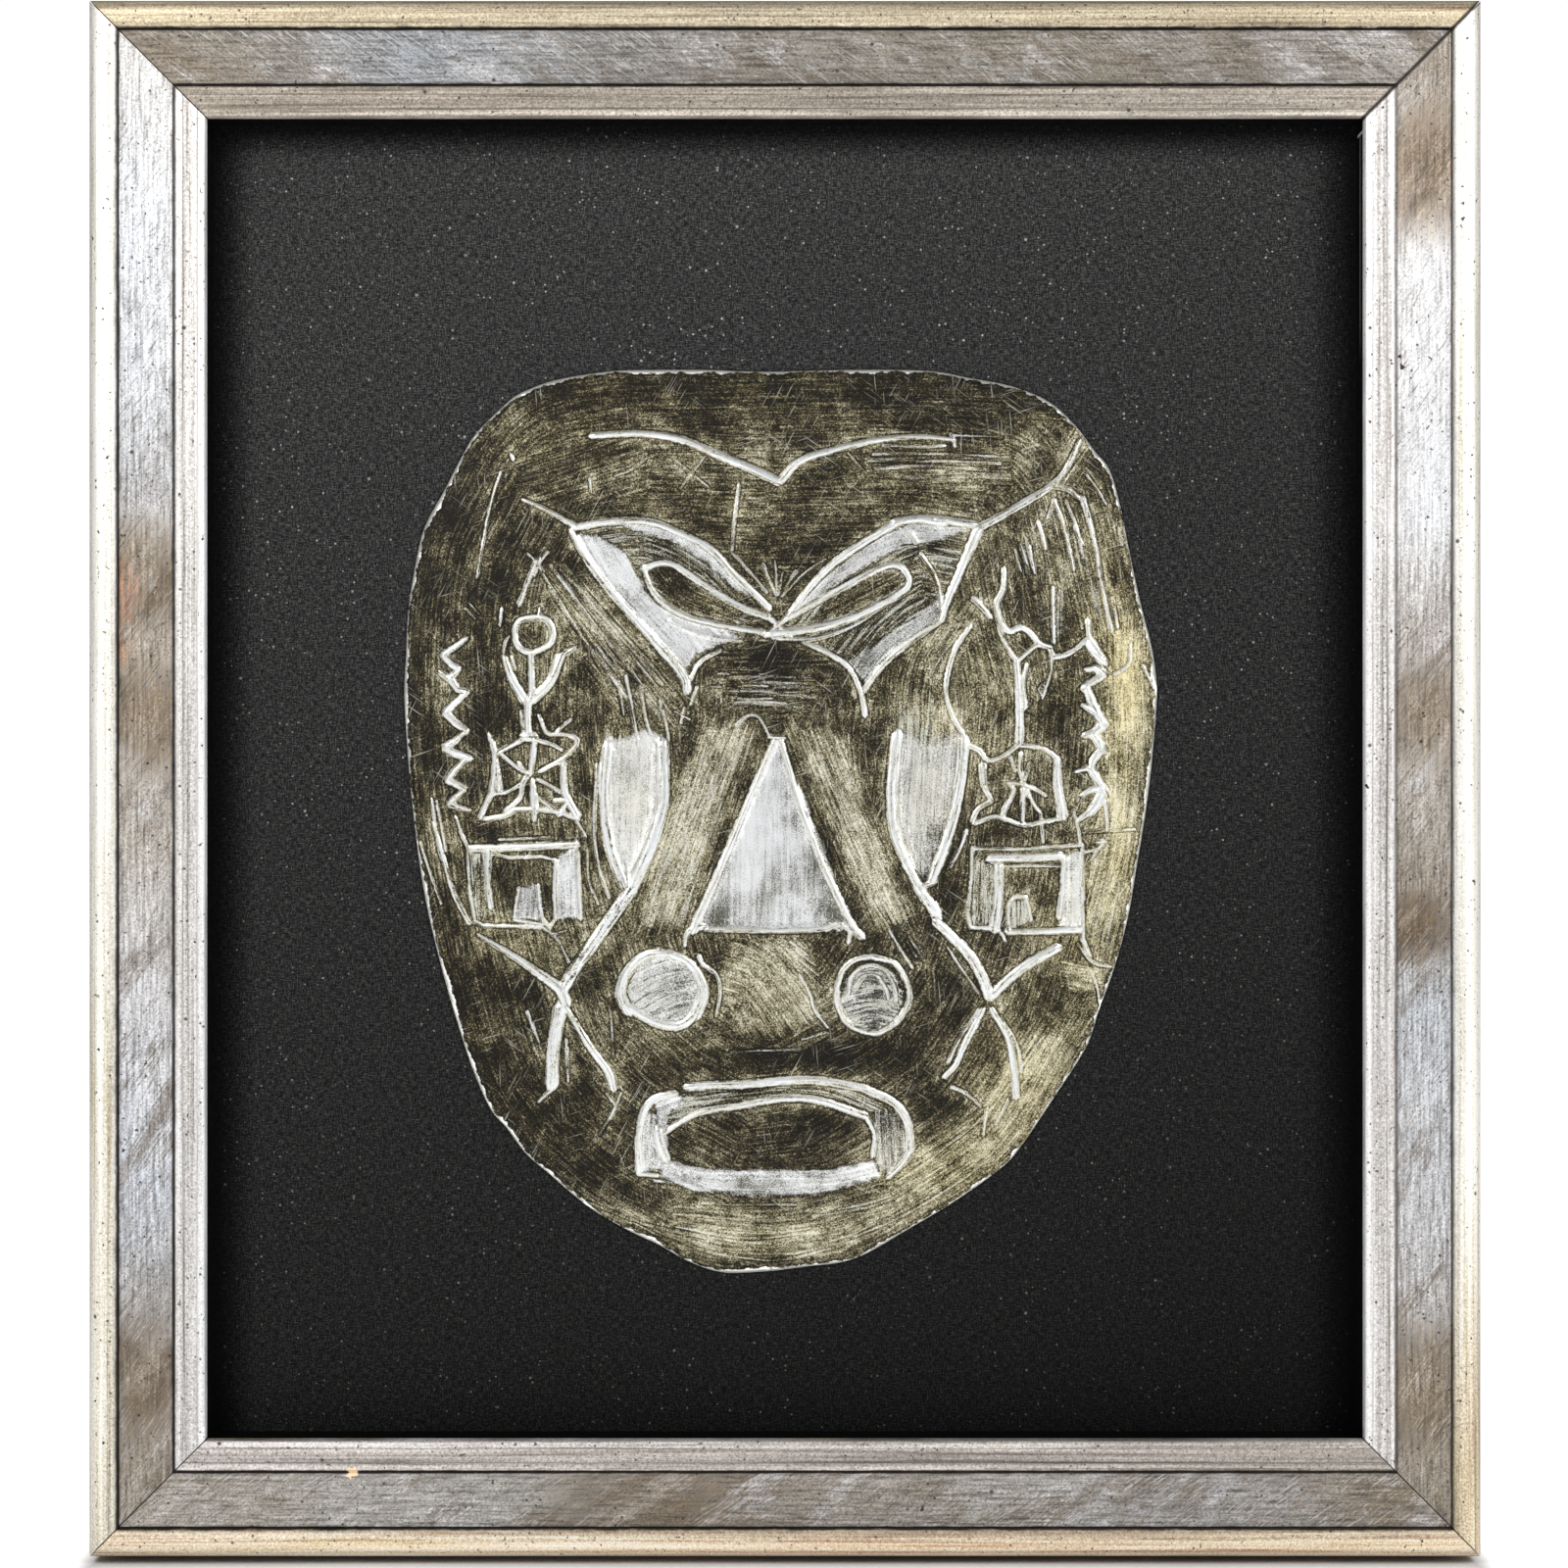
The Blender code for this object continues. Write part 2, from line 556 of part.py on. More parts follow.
def feet(points, closed, reach):
    """The two foot lines of a ridge, as closed loops around its crest line."""
    count = len(points)
    left, right = [], []
    for i, point in enumerate(points):
        before = points[i - 1] if closed or i > 0 else point
        after = points[(i + 1) % count] if closed or i + 1 < count else point
        way = (after - before).normalized()
        side = Vector((-way.y, way.x)) * reach
        left.append(point + side)
        right.append(point - side)
    if closed:
        return [left, right]
    start = points[0] + (points[0] - points[1]).normalized() * reach
    end = points[-1] + (points[-1] - points[-2]).normalized() * reach
    return [[start] + left + [end] + right[::-1]]


def plan_triangles(lines, spots):
    """The sheet's plan cut into triangles, with every line kept as edges."""
    points, edges = [], []
    for line, closed in lines:
        first = len(points)
        points += line
        edges += [(first + i, first + i + 1) for i in range(len(line) - 1)]
        if closed:
            edges.append((first + len(line) - 1, first))
    points += spots
    plan = delaunay_2d_cdt(points, edges, [], 1, PLAN_MERGE)
    return plan[0], plan[2]


def outline_reach(rim, spot):
    """Distance from the mask's middle to its rim, in the direction of a spot."""
    way = spot.normalized()
    for a, b in segments_of(rim, True):
        run = b - a
        cross = way.x * run.y - way.y * run.x
        if abs(cross) > 1e-9:
            along = (a.x * run.y - a.y * run.x) / cross
            share = (a.x * way.y - a.y * way.x) / cross
            if along > 0 and 0 <= share <= 1:
                return along
    return spot.length


def smooth_step(share):
    """0 below 0, 1 above 1 and an even S between."""
    share = min(1.0, max(0.0, share))
    return share * share * (3 - 2 * share)


def sheet_form(rim, nose, spot):
    """The broad form of the sheet over its rim: a low dome with the nose standing on it."""
    outward = min(1.0, spot.length / outline_reach(rim, spot)) if spot.length > 1e-6 else 0.0
    dome = DOME_RISE * (1 - outward ** DOME_POWER)
    depth_in = distance(spot, segments_of(nose, True))
    if not inside(spot, nose):
        depth_in = -depth_in
    slope = NOSE_SLOPE_SHARE * MASK_HEIGHT
    return dome + NOSE_RISE * smooth_step(0.5 + depth_in / slope)


def relief(ridges, spot):
    """Height of the raised lines at a spot."""
    height = 0.0
    for weight, segments in ridges:
        share = 1 - distance(spot, segments) / (RIDGE_WIDTH * weight / 2)
        if share > 0:
            height = max(height, RIDGE_HEIGHT * min(1.0, weight) * share)
    return height


def grid_spots(rim):
    """An even triangular grid of spots inside the rim."""
    row_step = GRID_STEP * math.sqrt(3) / 2
    low_x, high_x = min(p.x for p in rim), max(p.x for p in rim)
    low_z, high_z = min(p.y for p in rim), max(p.y for p in rim)
    edge = segments_of(rim, True)
    spots = []
    for row in range(math.ceil((high_z - low_z) / row_step)):
        shift = GRID_STEP / 2 * (row % 2)
        for column in range(math.ceil((high_x - low_x) / GRID_STEP)):
            spot = Vector((low_x + shift + column * GRID_STEP, low_z + row * row_step))
            if inside(spot, rim) and distance(spot, edge) > GRID_STEP / 2:
                spots.append(spot)
    return spots


def add_skin(bm, plan, height_of):
    """One side of the sheet: the plan's triangles, each corner at its own height."""
    spots, faces = plan
    verts = [bm.verts.new((spot.x, -height_of(spot), spot.y)) for spot in spots]
    made = [bm.faces.new([verts[i] for i in face]) for face in faces]
    return [edge for edge in {e for f in made for e in f.edges} if len(edge.link_faces) == 1]


def plan_key(vert):
    """A vertex's place in plan, rounded, to find the same place on the other skin."""
    return (round(vert.co.x, 6), round(vert.co.z, 6))


def make_mask(parent):
    """The embossed sheet: a front skin with ridges, a plain back skin and a cut rim."""
    rim = through(on_sheet(OUTLINE), True, RIM_STEP)
    nose = through(on_sheet(NOSE_FORM), True, STROKE_STEP)
    strokes = all_strokes()
    ridges = [(weight, segments_of(points, closed)) for weight, closed, points in strokes]
    lines = [(rim, True)]
    for weight, closed, points in strokes:
        lines.append((points, closed))
        lines += [(foot, True) for foot in feet(points, closed, RIDGE_WIDTH * weight / 2)]
    spots = grid_spots(rim)
    clear = [spot for spot in spots if all(
        distance(spot, segments) > RIDGE_WIDTH * weight / 2 + RIDGE_CLEARANCE
        for weight, segments in ridges)]
    bm = bmesh.new()
    front_rim = add_skin(bm, plan_triangles(lines, clear),
                         lambda spot: SHEET + sheet_form(rim, nose, spot) + relief(ridges, spot))
    back_rim = add_skin(bm, plan_triangles([(rim, True)], spots),
                        lambda spot: sheet_form(rim, nose, spot))
    behind = {plan_key(vert): vert for edge in back_rim for vert in edge.verts}
    for edge in front_rim:
        a, b = edge.verts
        bm.faces.new((a, b, behind[plan_key(b)], behind[plan_key(a)]))
    mask = add_part("mask", bm, MASK_FINISH, parent)
    mask.location = (MASK_OFFSET_X, -(MOUNT_BOARD_FRONT + GAP), MASK_OFFSET_Z)


frame_centre = bpy.data.objects.new("frame_centre", None)
frame_centre.location = (0.0, 0.0, -CENTRE_DROP)
bpy.context.collection.objects.link(frame_centre)

make_rails(frame_centre)
make_spacers(frame_centre)
make_board("mount_board", MOUNT_BOARD_FRONT, MOUNT_BOARD_THICKNESS, BOARD_FINISH, frame_centre)
make_board("back_board", BACK_BOARD_FRONT, BACK_BOARD_THICKNESS, BACK_FINISH, frame_centre)
make_points(frame_centre)
make_hanger(frame_centre)
make_mask(frame_centre)
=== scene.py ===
# %% [markdown]
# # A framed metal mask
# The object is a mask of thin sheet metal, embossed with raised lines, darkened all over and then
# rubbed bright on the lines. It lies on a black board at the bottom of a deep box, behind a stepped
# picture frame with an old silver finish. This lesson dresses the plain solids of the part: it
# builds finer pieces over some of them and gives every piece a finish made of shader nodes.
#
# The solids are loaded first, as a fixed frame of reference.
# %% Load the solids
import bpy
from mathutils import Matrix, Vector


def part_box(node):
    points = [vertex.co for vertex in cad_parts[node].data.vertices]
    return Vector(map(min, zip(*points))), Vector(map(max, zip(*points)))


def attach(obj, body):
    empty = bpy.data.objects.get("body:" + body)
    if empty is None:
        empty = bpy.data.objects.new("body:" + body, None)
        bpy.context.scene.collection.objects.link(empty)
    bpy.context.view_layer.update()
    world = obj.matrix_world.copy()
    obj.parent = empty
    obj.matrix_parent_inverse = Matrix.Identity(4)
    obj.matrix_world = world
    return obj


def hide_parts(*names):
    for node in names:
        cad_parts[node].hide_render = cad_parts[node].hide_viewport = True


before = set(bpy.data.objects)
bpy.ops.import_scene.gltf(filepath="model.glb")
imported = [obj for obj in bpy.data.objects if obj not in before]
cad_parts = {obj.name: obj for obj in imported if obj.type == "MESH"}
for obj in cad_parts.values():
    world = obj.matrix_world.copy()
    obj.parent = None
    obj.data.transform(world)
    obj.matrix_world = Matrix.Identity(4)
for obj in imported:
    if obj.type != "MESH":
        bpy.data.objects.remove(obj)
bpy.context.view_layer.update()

# %% [markdown]
# ## Measures
# All lengths are in metres. The frame stands with its back on the plane y = 0, its front towards
# -Y, and the middle of the top rail's back at the origin. The box of each solid gives the places
# that the finer pieces must keep to, so nothing has to be fitted by eye.
# %% Measures that several pieces share
import math

import bmesh
import bpy
import numpy as np
from mathutils import Matrix, Vector, noise
from mathutils.geometry import delaunay_2d_cdt

MM = 0.001
rail_low, rail_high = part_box("frame_rail_left")
FRAME_LOW_Z, FRAME_HIGH_Z = rail_low.z, rail_high.z
FRAME_HALF_WIDTH = -rail_low.x
FRAME_HALF_HEIGHT = (FRAME_HIGH_Z - FRAME_LOW_Z) / 2
CENTRE_Z = (FRAME_HIGH_Z + FRAME_LOW_Z) / 2
SIGHT_HALF_WIDTH = FRAME_HALF_WIDTH - 36 * MM
SIGHT_HALF_HEIGHT = FRAME_HALF_HEIGHT - 36 * MM
print("frame half width and height:", round(FRAME_HALF_WIDTH, 4), round(FRAME_HALF_HEIGHT, 4))

# %% [markdown]
# ## Camera
# The picture is taken square on, from a little over a metre away. The lens is worked out from the
# width of the strip that the picture shows at the depth of the frame's inner edge. Its place is a
# hair left of the middle, so the inner wall of the box shows on the right side only.
# %% Camera
LIP_Y = -30.4 * MM
CAMERA_DISTANCE = 1.10
SEEN_WIDTH = 0.4810
SENSOR = 36.0
CAMERA_X, CAMERA_Z = -0.3 * MM, -225.9 * MM

camera_data = bpy.data.cameras.new("camera")
camera_data.sensor_width = SENSOR
camera_data.lens = SENSOR * CAMERA_DISTANCE / SEEN_WIDTH
camera = bpy.data.objects.new("camera", camera_data)
camera.location = (CAMERA_X, LIP_Y - CAMERA_DISTANCE, CAMERA_Z)
camera.rotation_euler = (math.radians(90), 0.0, 0.0)
bpy.context.scene.collection.objects.link(camera)
bpy.context.scene.camera = camera
print("lens:", round(camera_data.lens, 2), "mm")

# %% [markdown]
# ## A small helper for finishes
# A finish is a tree of shader nodes. Written out in full, each node takes three or four lines, so
# this helper adds one node per call and returns what comes out of it. A number may stand wherever
# a node's output may.
# %% The finish helper
def grey(value):
    """A colour with all three parts alike."""
    return (value, value, value)


class Finish:
    """A material that is built up node by node around one Principled shader."""

    def __init__(self, name):
        self.material = bpy.data.materials.new(name)
        self.material.use_nodes = True
        self.nodes = self.material.node_tree.nodes
        self.links = self.material.node_tree.links
        self.shader = self.nodes["Principled BSDF"]
        self.place = self.nodes.new("ShaderNodeTexCoord").outputs["Object"]

    def put(self, value, socket):
        """Set a socket to a number, or wire an output to it."""
        if isinstance(value, bpy.types.NodeSocket):
            self.links.new(value, socket)
        else:
            socket.default_value = value

    def surface(self, **values):
        """Set the shader's own sockets: colour, roughness and the rest."""
        for name, value in values.items():
            self.put(value, self.shader.inputs[name.replace("_", " ")])

    def math(self, operation, a, b=0.0, c=0.0):
        node = self.nodes.new("ShaderNodeMath")
        node.operation = operation
        for value, socket in zip((a, b, c), node.inputs):
            self.put(value, socket)
        return node.outputs[0]

    def times(self, a, b):
        return self.math("MULTIPLY", a, b)

    def plus(self, a, b):
        return self.math("ADD", a, b)

    def step(self, value, start, end):
        """0 at start, 1 at end, and a straight rise or fall between."""
        node = self.nodes.new("ShaderNodeMapRange")
        self.put(value, node.inputs["Value"])
        node.inputs["From Min"].default_value = start
        node.inputs["From Max"].default_value = end
        return node.outputs["Result"]

    def stretch(self, vector, scale, turn=(0.0, 0.0, 0.0), move=(0.0, 0.0, 0.0)):
        node = self.nodes.new("ShaderNodeMapping")
        self.put(vector, node.inputs["Vector"])
        node.inputs["Scale"].default_value = scale
        node.inputs["Rotation"].default_value = turn
        node.inputs["Location"].default_value = move
        return node.outputs["Vector"]

    def noise(self, vector, scale=1.0, detail=2.0, roughness=0.5, warp=0.0):
        node = self.nodes.new("ShaderNodeTexNoise")
        self.put(vector, node.inputs["Vector"])
        for name, value in (("Scale", scale), ("Detail", detail), ("Roughness", roughness),
                            ("Distortion", warp)):
            node.inputs[name].default_value = value
        return node.outputs["Fac"]

    def cells(self, vector, scale):
        """Scattered points: the distance to the nearest one, and a number of its own."""
        node = self.nodes.new("ShaderNodeTexVoronoi")
        self.put(vector, node.inputs["Vector"])
        node.inputs["Scale"].default_value = scale
        split = self.nodes.new("ShaderNodeSeparateColor")
        self.links.new(node.outputs["Color"], split.inputs["Color"])
        return node.outputs["Distance"], split.outputs["Red"]

    def specks(self, vector, scale, share, size, edge=0.25):
        """1 on small dots at a share of the scattered points, 0 elsewhere."""
        distance, number = self.cells(vector, scale)
        radius = self.times(self.step(number, share, 0.0), size)
        return self.step(self.math("DIVIDE", distance, self.math("MAXIMUM", radius, 1e-4)), 1.0, 1.0 - edge)

    def ramp(self, value, *stops):
        """A colour for each value, blended between the stops."""
        node = self.nodes.new("ShaderNodeValToRGB")
        self.put(value, node.inputs["Fac"])
        elements = node.color_ramp.elements
        while len(elements) < len(stops):
            elements.new(0.5)
        for element, (position, colour) in zip(elements, stops):
            element.position = position
            element.color = (*colour, 1.0)
        return node.outputs["Color"]

    def blend(self, share, a, b, way="MIX"):
        node = self.nodes.new("ShaderNodeMix")
        node.data_type, node.blend_type = "RGBA", way
        for value, socket in ((share, node.inputs[0]), (a, node.inputs[6]), (b, node.inputs[7])):
            self.put((*value, 1.0) if isinstance(value, tuple) else value, socket)
        return node.outputs[2]

    def read(self, name):
        """A number stored on the mesh."""
        node = self.nodes.new("ShaderNodeAttribute")
        node.attribute_name = name
        return node.outputs["Fac"]

    def chart(self, name):
        """A UV map stored on the mesh."""
        node = self.nodes.new("ShaderNodeUVMap")
        node.uv_map = name
        return node.outputs["UV"]

    def parts(self, vector):
        node = self.nodes.new("ShaderNodeSeparateXYZ")
        self.put(vector, node.inputs[0])
        return node.outputs

    def bump(self, height, distance, strength=1.0):
        node = self.nodes.new("ShaderNodeBump")
        self.put(height, node.inputs["Height"])
        node.inputs["Distance"].default_value = distance
        node.inputs["Strength"].default_value = strength
        return node.outputs["Normal"]


def near(finish, vector, spot, reach):
    """1 at a spot, falling to 0 at its reach."""
    node = finish.nodes.new("ShaderNodeVectorMath")
    node.operation = "DISTANCE"
    finish.put(vector, node.inputs[0])
    node.inputs[1].default_value = spot
    return finish.step(node.outputs["Value"], reach, 0.0)


# %% [markdown]
# ## Studio
# The floor is a plain pale sheet right under the frame. It glows evenly, except in a strip along the
# foot of the frame, where the glow is left out as a painted contact shadow under the lower rail. The
# world is an even white, which gives the soft fill. Two large area lights stand in front and above,
# one on each side, because the box shows shadows under its left, right and top edges and none at the
# bottom.
# %% Floor, world and lights
FLOOR_SIZE = 9.0
FLOOR_GAP = 2.0 * MM
HALF_DEPTH, CONTACT_SHADE = 18 * MM, (14 * MM, 40 * MM)
FLOOR_GLOW = 0.95
FILL_LIGHT, SEEN_WHITE = 0.14, 1.05

bm = bmesh.new()
bmesh.ops.create_grid(bm, x_segments=4, y_segments=4, size=FLOOR_SIZE / 2)
bmesh.ops.translate(bm, vec=(0.0, 0.0, FRAME_LOW_Z - FLOOR_GAP), verts=bm.verts)
floor_mesh = bpy.data.meshes.new("floor")
bm.to_mesh(floor_mesh)
bm.free()
floor = bpy.data.objects.new("floor", floor_mesh)
bpy.context.scene.collection.objects.link(floor)
floor_finish = Finish("pale_floor")
floor_finish.surface(Base_Color=(0.86, 0.86, 0.87, 1.0), Roughness=0.9)
floor_finish.shader.inputs["Emission Color"].default_value = (1.0, 1.0, 1.0, 1.0)
floor_x, floor_y, _ = floor_finish.parts(floor_finish.place)
# Painted contact shadow: the glow is left out in a strip along the frame's foot, within its width.
in_front = floor_finish.step(floor_finish.math("ABSOLUTE", floor_finish.plus(floor_y, HALF_DEPTH)),
                             *CONTACT_SHADE)
beside_frame = floor_finish.step(floor_finish.math("ABSOLUTE", floor_x), FRAME_HALF_WIDTH - 2 * MM,
                                 FRAME_HALF_WIDTH + 6 * MM)
glow_outside_painted_shadow = floor_finish.times(floor_finish.math("MAXIMUM", in_front, beside_frame), FLOOR_GLOW)
floor_finish.links.new(glow_outside_painted_shadow, floor_finish.shader.inputs["Emission Strength"])
floor_mesh.materials.append(floor_finish.material)

world = bpy.data.worlds.new("studio")
world.use_nodes = True
world_nodes, world_links = world.node_tree.nodes, world.node_tree.links
ray_kind = world_nodes.new("ShaderNodeLightPath").outputs["Is Camera Ray"]
seen_or_fill = world_nodes.new("ShaderNodeMapRange")
seen_or_fill.inputs["To Min"].default_value = FILL_LIGHT
seen_or_fill.inputs["To Max"].default_value = SEEN_WHITE
world_links.new(ray_kind, seen_or_fill.inputs["Value"])
world_links.new(seen_or_fill.outputs["Result"], world_nodes["Background"].inputs["Strength"])
world_nodes["Background"].inputs["Color"].default_value = (1.0, 1.0, 1.0, 1.0)
bpy.context.scene.world = world
bpy.context.scene.view_settings.view_transform = "Standard"

OBJECT_MIDDLE = Vector((0.0, -0.02, CENTRE_Z))


def soft_light(name, across, up, distance, size, power):
    """An area light at so many degrees to the right of and above the camera's axis."""
    data = bpy.data.lights.new(name, "AREA")
    data.shape, data.size, data.size_y = "RECTANGLE", size[0], size[1]
    data.energy = power
    light = bpy.data.objects.new(name, data)
    a, e = math.radians(across), math.radians(up)
    way = Vector((math.sin(a) * math.cos(e), -math.cos(a) * math.cos(e), math.sin(e)))
    light.location = OBJECT_MIDDLE + way * distance
    light.rotation_euler = way.to_track_quat("Z", "Y").to_euler()
    bpy.context.scene.collection.objects.link(light)


soft_light("light_left", -30, 24, 1.15, (0.30, 0.45), 6.0)
soft_light("light_right", 38, 22, 1.6, (0.6, 0.6), 13)
print("studio lights: left and right, both from above")

# %% [markdown]
# ## Frame moulding
# Each side of a picture frame is one length of moulding with both ends cut at 45 degrees. Its
# section has a rounded outer band, a fine groove, a wide and slightly hollow panel that slopes in,
# a second groove, and an inner band with a bead at each edge.
#
# A moulding can be swept along a curve, or its section can be extruded. Extruding is the simplest
# way to get exact mitres: the section is drawn on the mitre's slant, extruded, and the far end is
# mirrored. Then the long edges are cut so that the wood can wave a little, as old wood does.
# %% Section of the moulding
SIDE_RISE, CREST_IN, CREST_RISE = 26.2 * MM, 4.70 * MM, 36.0 * MM
FIRST_GROOVE, SECOND_GROOVE = 9.7 * MM, 26.4 * MM
GROOVE_SIDE, GROOVE_REACH, GROOVE_DEPTH = 0.35 * MM, 0.2 * MM, 0.15 * MM
PANEL_START, PANEL_END, PANEL_STEPS = FIRST_GROOVE + GROOVE_SIDE, SECOND_GROOVE - 0.4 * MM, 12
RAIL_WIDTH, BACK_WIDTH, LIP_RISE = 36.0 * MM, 30.0 * MM, 27.0 * MM
BEAD_WIDTH, BEAD_RISE, FLAT_RISE = 2.6 * MM, 0.9 * MM, 31.0 * MM


def arc(centre, reach, start, end, steps):
    """Points of an ellipse between two angles in degrees."""
    angles = [math.radians(start + (end - start) * k / steps) for k in range(steps + 1)]
    return [(centre[0] + reach[0] * math.cos(a), centre[1] + reach[1] * math.sin(a)) for a in angles]


def groove(middle, bottom):
    """The three points of a fine V-groove."""
    edge = bottom + GROOVE_DEPTH
    return [(middle - GROOVE_REACH, edge), (middle, bottom), (middle + GROOVE_REACH, edge)]


def moulding_section():
    """(distance in from the outside, height above the back) all round, front first."""
    section = [(0.0, 9.0 * MM)]
    section += arc((CREST_IN, SIDE_RISE), (CREST_IN, CREST_RISE - SIDE_RISE), 180, 90, 14)
    section += arc((CREST_IN, 34.0 * MM), (FIRST_GROOVE - GROOVE_SIDE - CREST_IN, 2.0 * MM), 90, 0, 8)[1:]
    section += groove(FIRST_GROOVE, 32.6 * MM)
    for k in range(PANEL_STEPS + 1):
        share = k / PANEL_STEPS
        rise = 33.4 - 2.0 * share - 0.5 * math.sin(math.pi * share)
        section.append((PANEL_START + share * (PANEL_END - PANEL_START), rise * MM))
    section += groove(SECOND_GROOVE, 30.6 * MM)
    bead_middle = SECOND_GROOVE + GROOVE_SIDE + BEAD_WIDTH / 2
    section += arc((bead_middle, FLAT_RISE), (BEAD_WIDTH / 2, BEAD_RISE), 180, 0, 10)
    section += [(30.0 * MM, 30.93 * MM), (31.9 * MM, 30.93 * MM)]
    section += arc((34.7 * MM, FLAT_RISE), (BEAD_WIDTH / 2, BEAD_RISE), 180, 55, 8)
    section += [(35.8 * MM, 31.45 * MM), (RAIL_WIDTH, 31.1 * MM), (RAIL_WIDTH, LIP_RISE)]
    section += [(BACK_WIDTH, LIP_RISE), (BACK_WIDTH, 0.0), (0.0, 0.0)]
    return section


print("points round the section:", len(moulding_section()))

# %% [markdown]
# The leaf finish needs to know where it is on the section, so each rail carries a UV map that
# holds the distance along the rail and the distance in from the outside. Grain, grooves and the
# tone of each band all read that map, and so run true round every corner. The back, the rebate and
# the sawn mitres keep bare wood, as a second material.
# %% Build the four rails
HAIR = 0.3 * MM
LEAF, BARE_WOOD = 0, 1
SHARP_ANGLE = math.radians(50)
RAIL_SPACING = 0.5
CUT_LENGTH = 7 * MM
WAVE_RISE, WAVE_FROM_CORNER = 0.06 * MM, 40 * MM


def make_rail(name, half_length, half_across, turn, order):
    """One rail, made along X with its outside up, then turned to its side of the frame."""
    bm = bmesh.new()
    mitre_gap = HAIR / math.sqrt(2)
    start = [bm.verts.new((mitre_gap - (half_length - u), -h, half_across - u))
             for u, h in moulding_section()]
    end = bm.faces.new(start)
    grown = bmesh.ops.extrude_face_region(bm, geom=[end])["geom"]
    for vert in [g for g in grown if isinstance(g, bmesh.types.BMVert)]:
        vert.co.x = -vert.co.x
    long_edges = [e for e in bm.edges if abs(e.verts[0].co.x - e.verts[1].co.x) > half_length]
    bmesh.ops.subdivide_edges(bm, edges=long_edges, cuts=round(half_length * 2 / CUT_LENGTH),
                              use_grid_fill=True)
    bmesh.ops.recalc_face_normals(bm, faces=bm.faces)
    chart = bm.loops.layers.uv.new("section")
    for face in bm.faces:
        middle = face.calc_center_median()
        inward, rise = half_across - middle.z, -middle.y
        sawn = abs(face.normal.x) > 0.5
        behind = rise < 0.1 * MM or (inward > BACK_WIDTH - 0.1 * MM and rise < LIP_RISE + 0.1 * MM)
        face.material_index = BARE_WOOD if sawn or behind else LEAF
        face.smooth = not sawn
        for loop in face.loops:
            across = half_across - loop.vert.co.z
            if across < 0.01 * MM:
                across = -(SIDE_RISE + loop.vert.co.y)
            loop[chart].uv = (loop.vert.co.x + order * RAIL_SPACING, across)
    for edge in bm.edges:
        edge.smooth = edge.calc_face_angle(0.0) < SHARP_ANGLE
    for vert in bm.verts:
        place = vert.co
        inside = half_length - abs(place.x) > WAVE_FROM_CORNER
        wave = noise.noise(Vector((place.x * 18, place.z * 60, order * 7.0)))
        if inside and -place.y > SIDE_RISE:
            place.y += WAVE_RISE * (1 + wave)
    bmesh.ops.rotate(bm, verts=bm.verts, cent=(0, 0, 0), matrix=Matrix.Rotation(turn, 3, "Y"))
    bmesh.ops.translate(bm, vec=(0.0, 0.0, CENTRE_Z), verts=bm.verts)
    mesh = bpy.data.meshes.new(name)
    bm.to_mesh(mesh)
    bm.free()
    rail = bpy.data.objects.new(name, mesh)
    bpy.context.scene.collection.objects.link(rail)
    return rail


rails = [
    make_rail("moulding_top", FRAME_HALF_WIDTH, FRAME_HALF_HEIGHT, 0.0, 0),
    make_rail("moulding_right", FRAME_HALF_HEIGHT, FRAME_HALF_WIDTH, math.pi / 2, 1),
    make_rail("moulding_bottom", FRAME_HALF_WIDTH, FRAME_HALF_HEIGHT, math.pi, 2),
    make_rail("moulding_left", FRAME_HALF_HEIGHT, FRAME_HALF_WIDTH, -math.pi / 2, 3),
]
for rail in rails:
    side = rail.name.split("_")[1]
    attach(rail, "root")
    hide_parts("frame_rail_" + side)
    print(rail.name, len(rail.data.polygons), "faces")

# %% [markdown]
# ## Old silver finish
# The rails are covered in metal leaf, toned champagne on the outer band, cooler and scratched on
# the panel, and greyer on the inner band. Fine streaks follow the length of each rail; brushed
# scratches cross the panel at a slant; brown and blue-grey clouds lie over it; dark specks are
# flicked all over; and the grooves are full of dark wax.
# %% Tones round the frame
leaf = Finish("old_silver_leaf")
section_uv = leaf.chart("section")
along, inward, _ = leaf.parts(section_uv)
band = leaf.math("DIVIDE", inward, RAIL_WIDTH)
place_on_rails = leaf.math("DIVIDE", leaf.plus(along, RAIL_SPACING / 2), 4 * RAIL_SPACING)
SILVER, TAUPE, BROWN = (0.31, 0.31, 0.315), (0.255, 0.225, 0.185), (0.185, 0.155, 0.115)
CREAM, TAN = (0.885, 0.88, 0.85), (0.58, 0.50, 0.36)


def along_rails(*tones):
    """A tone at each place round the frame, clockwise from the top left; each side takes a quarter."""
    return leaf.ramp(place_on_rails, *tones)
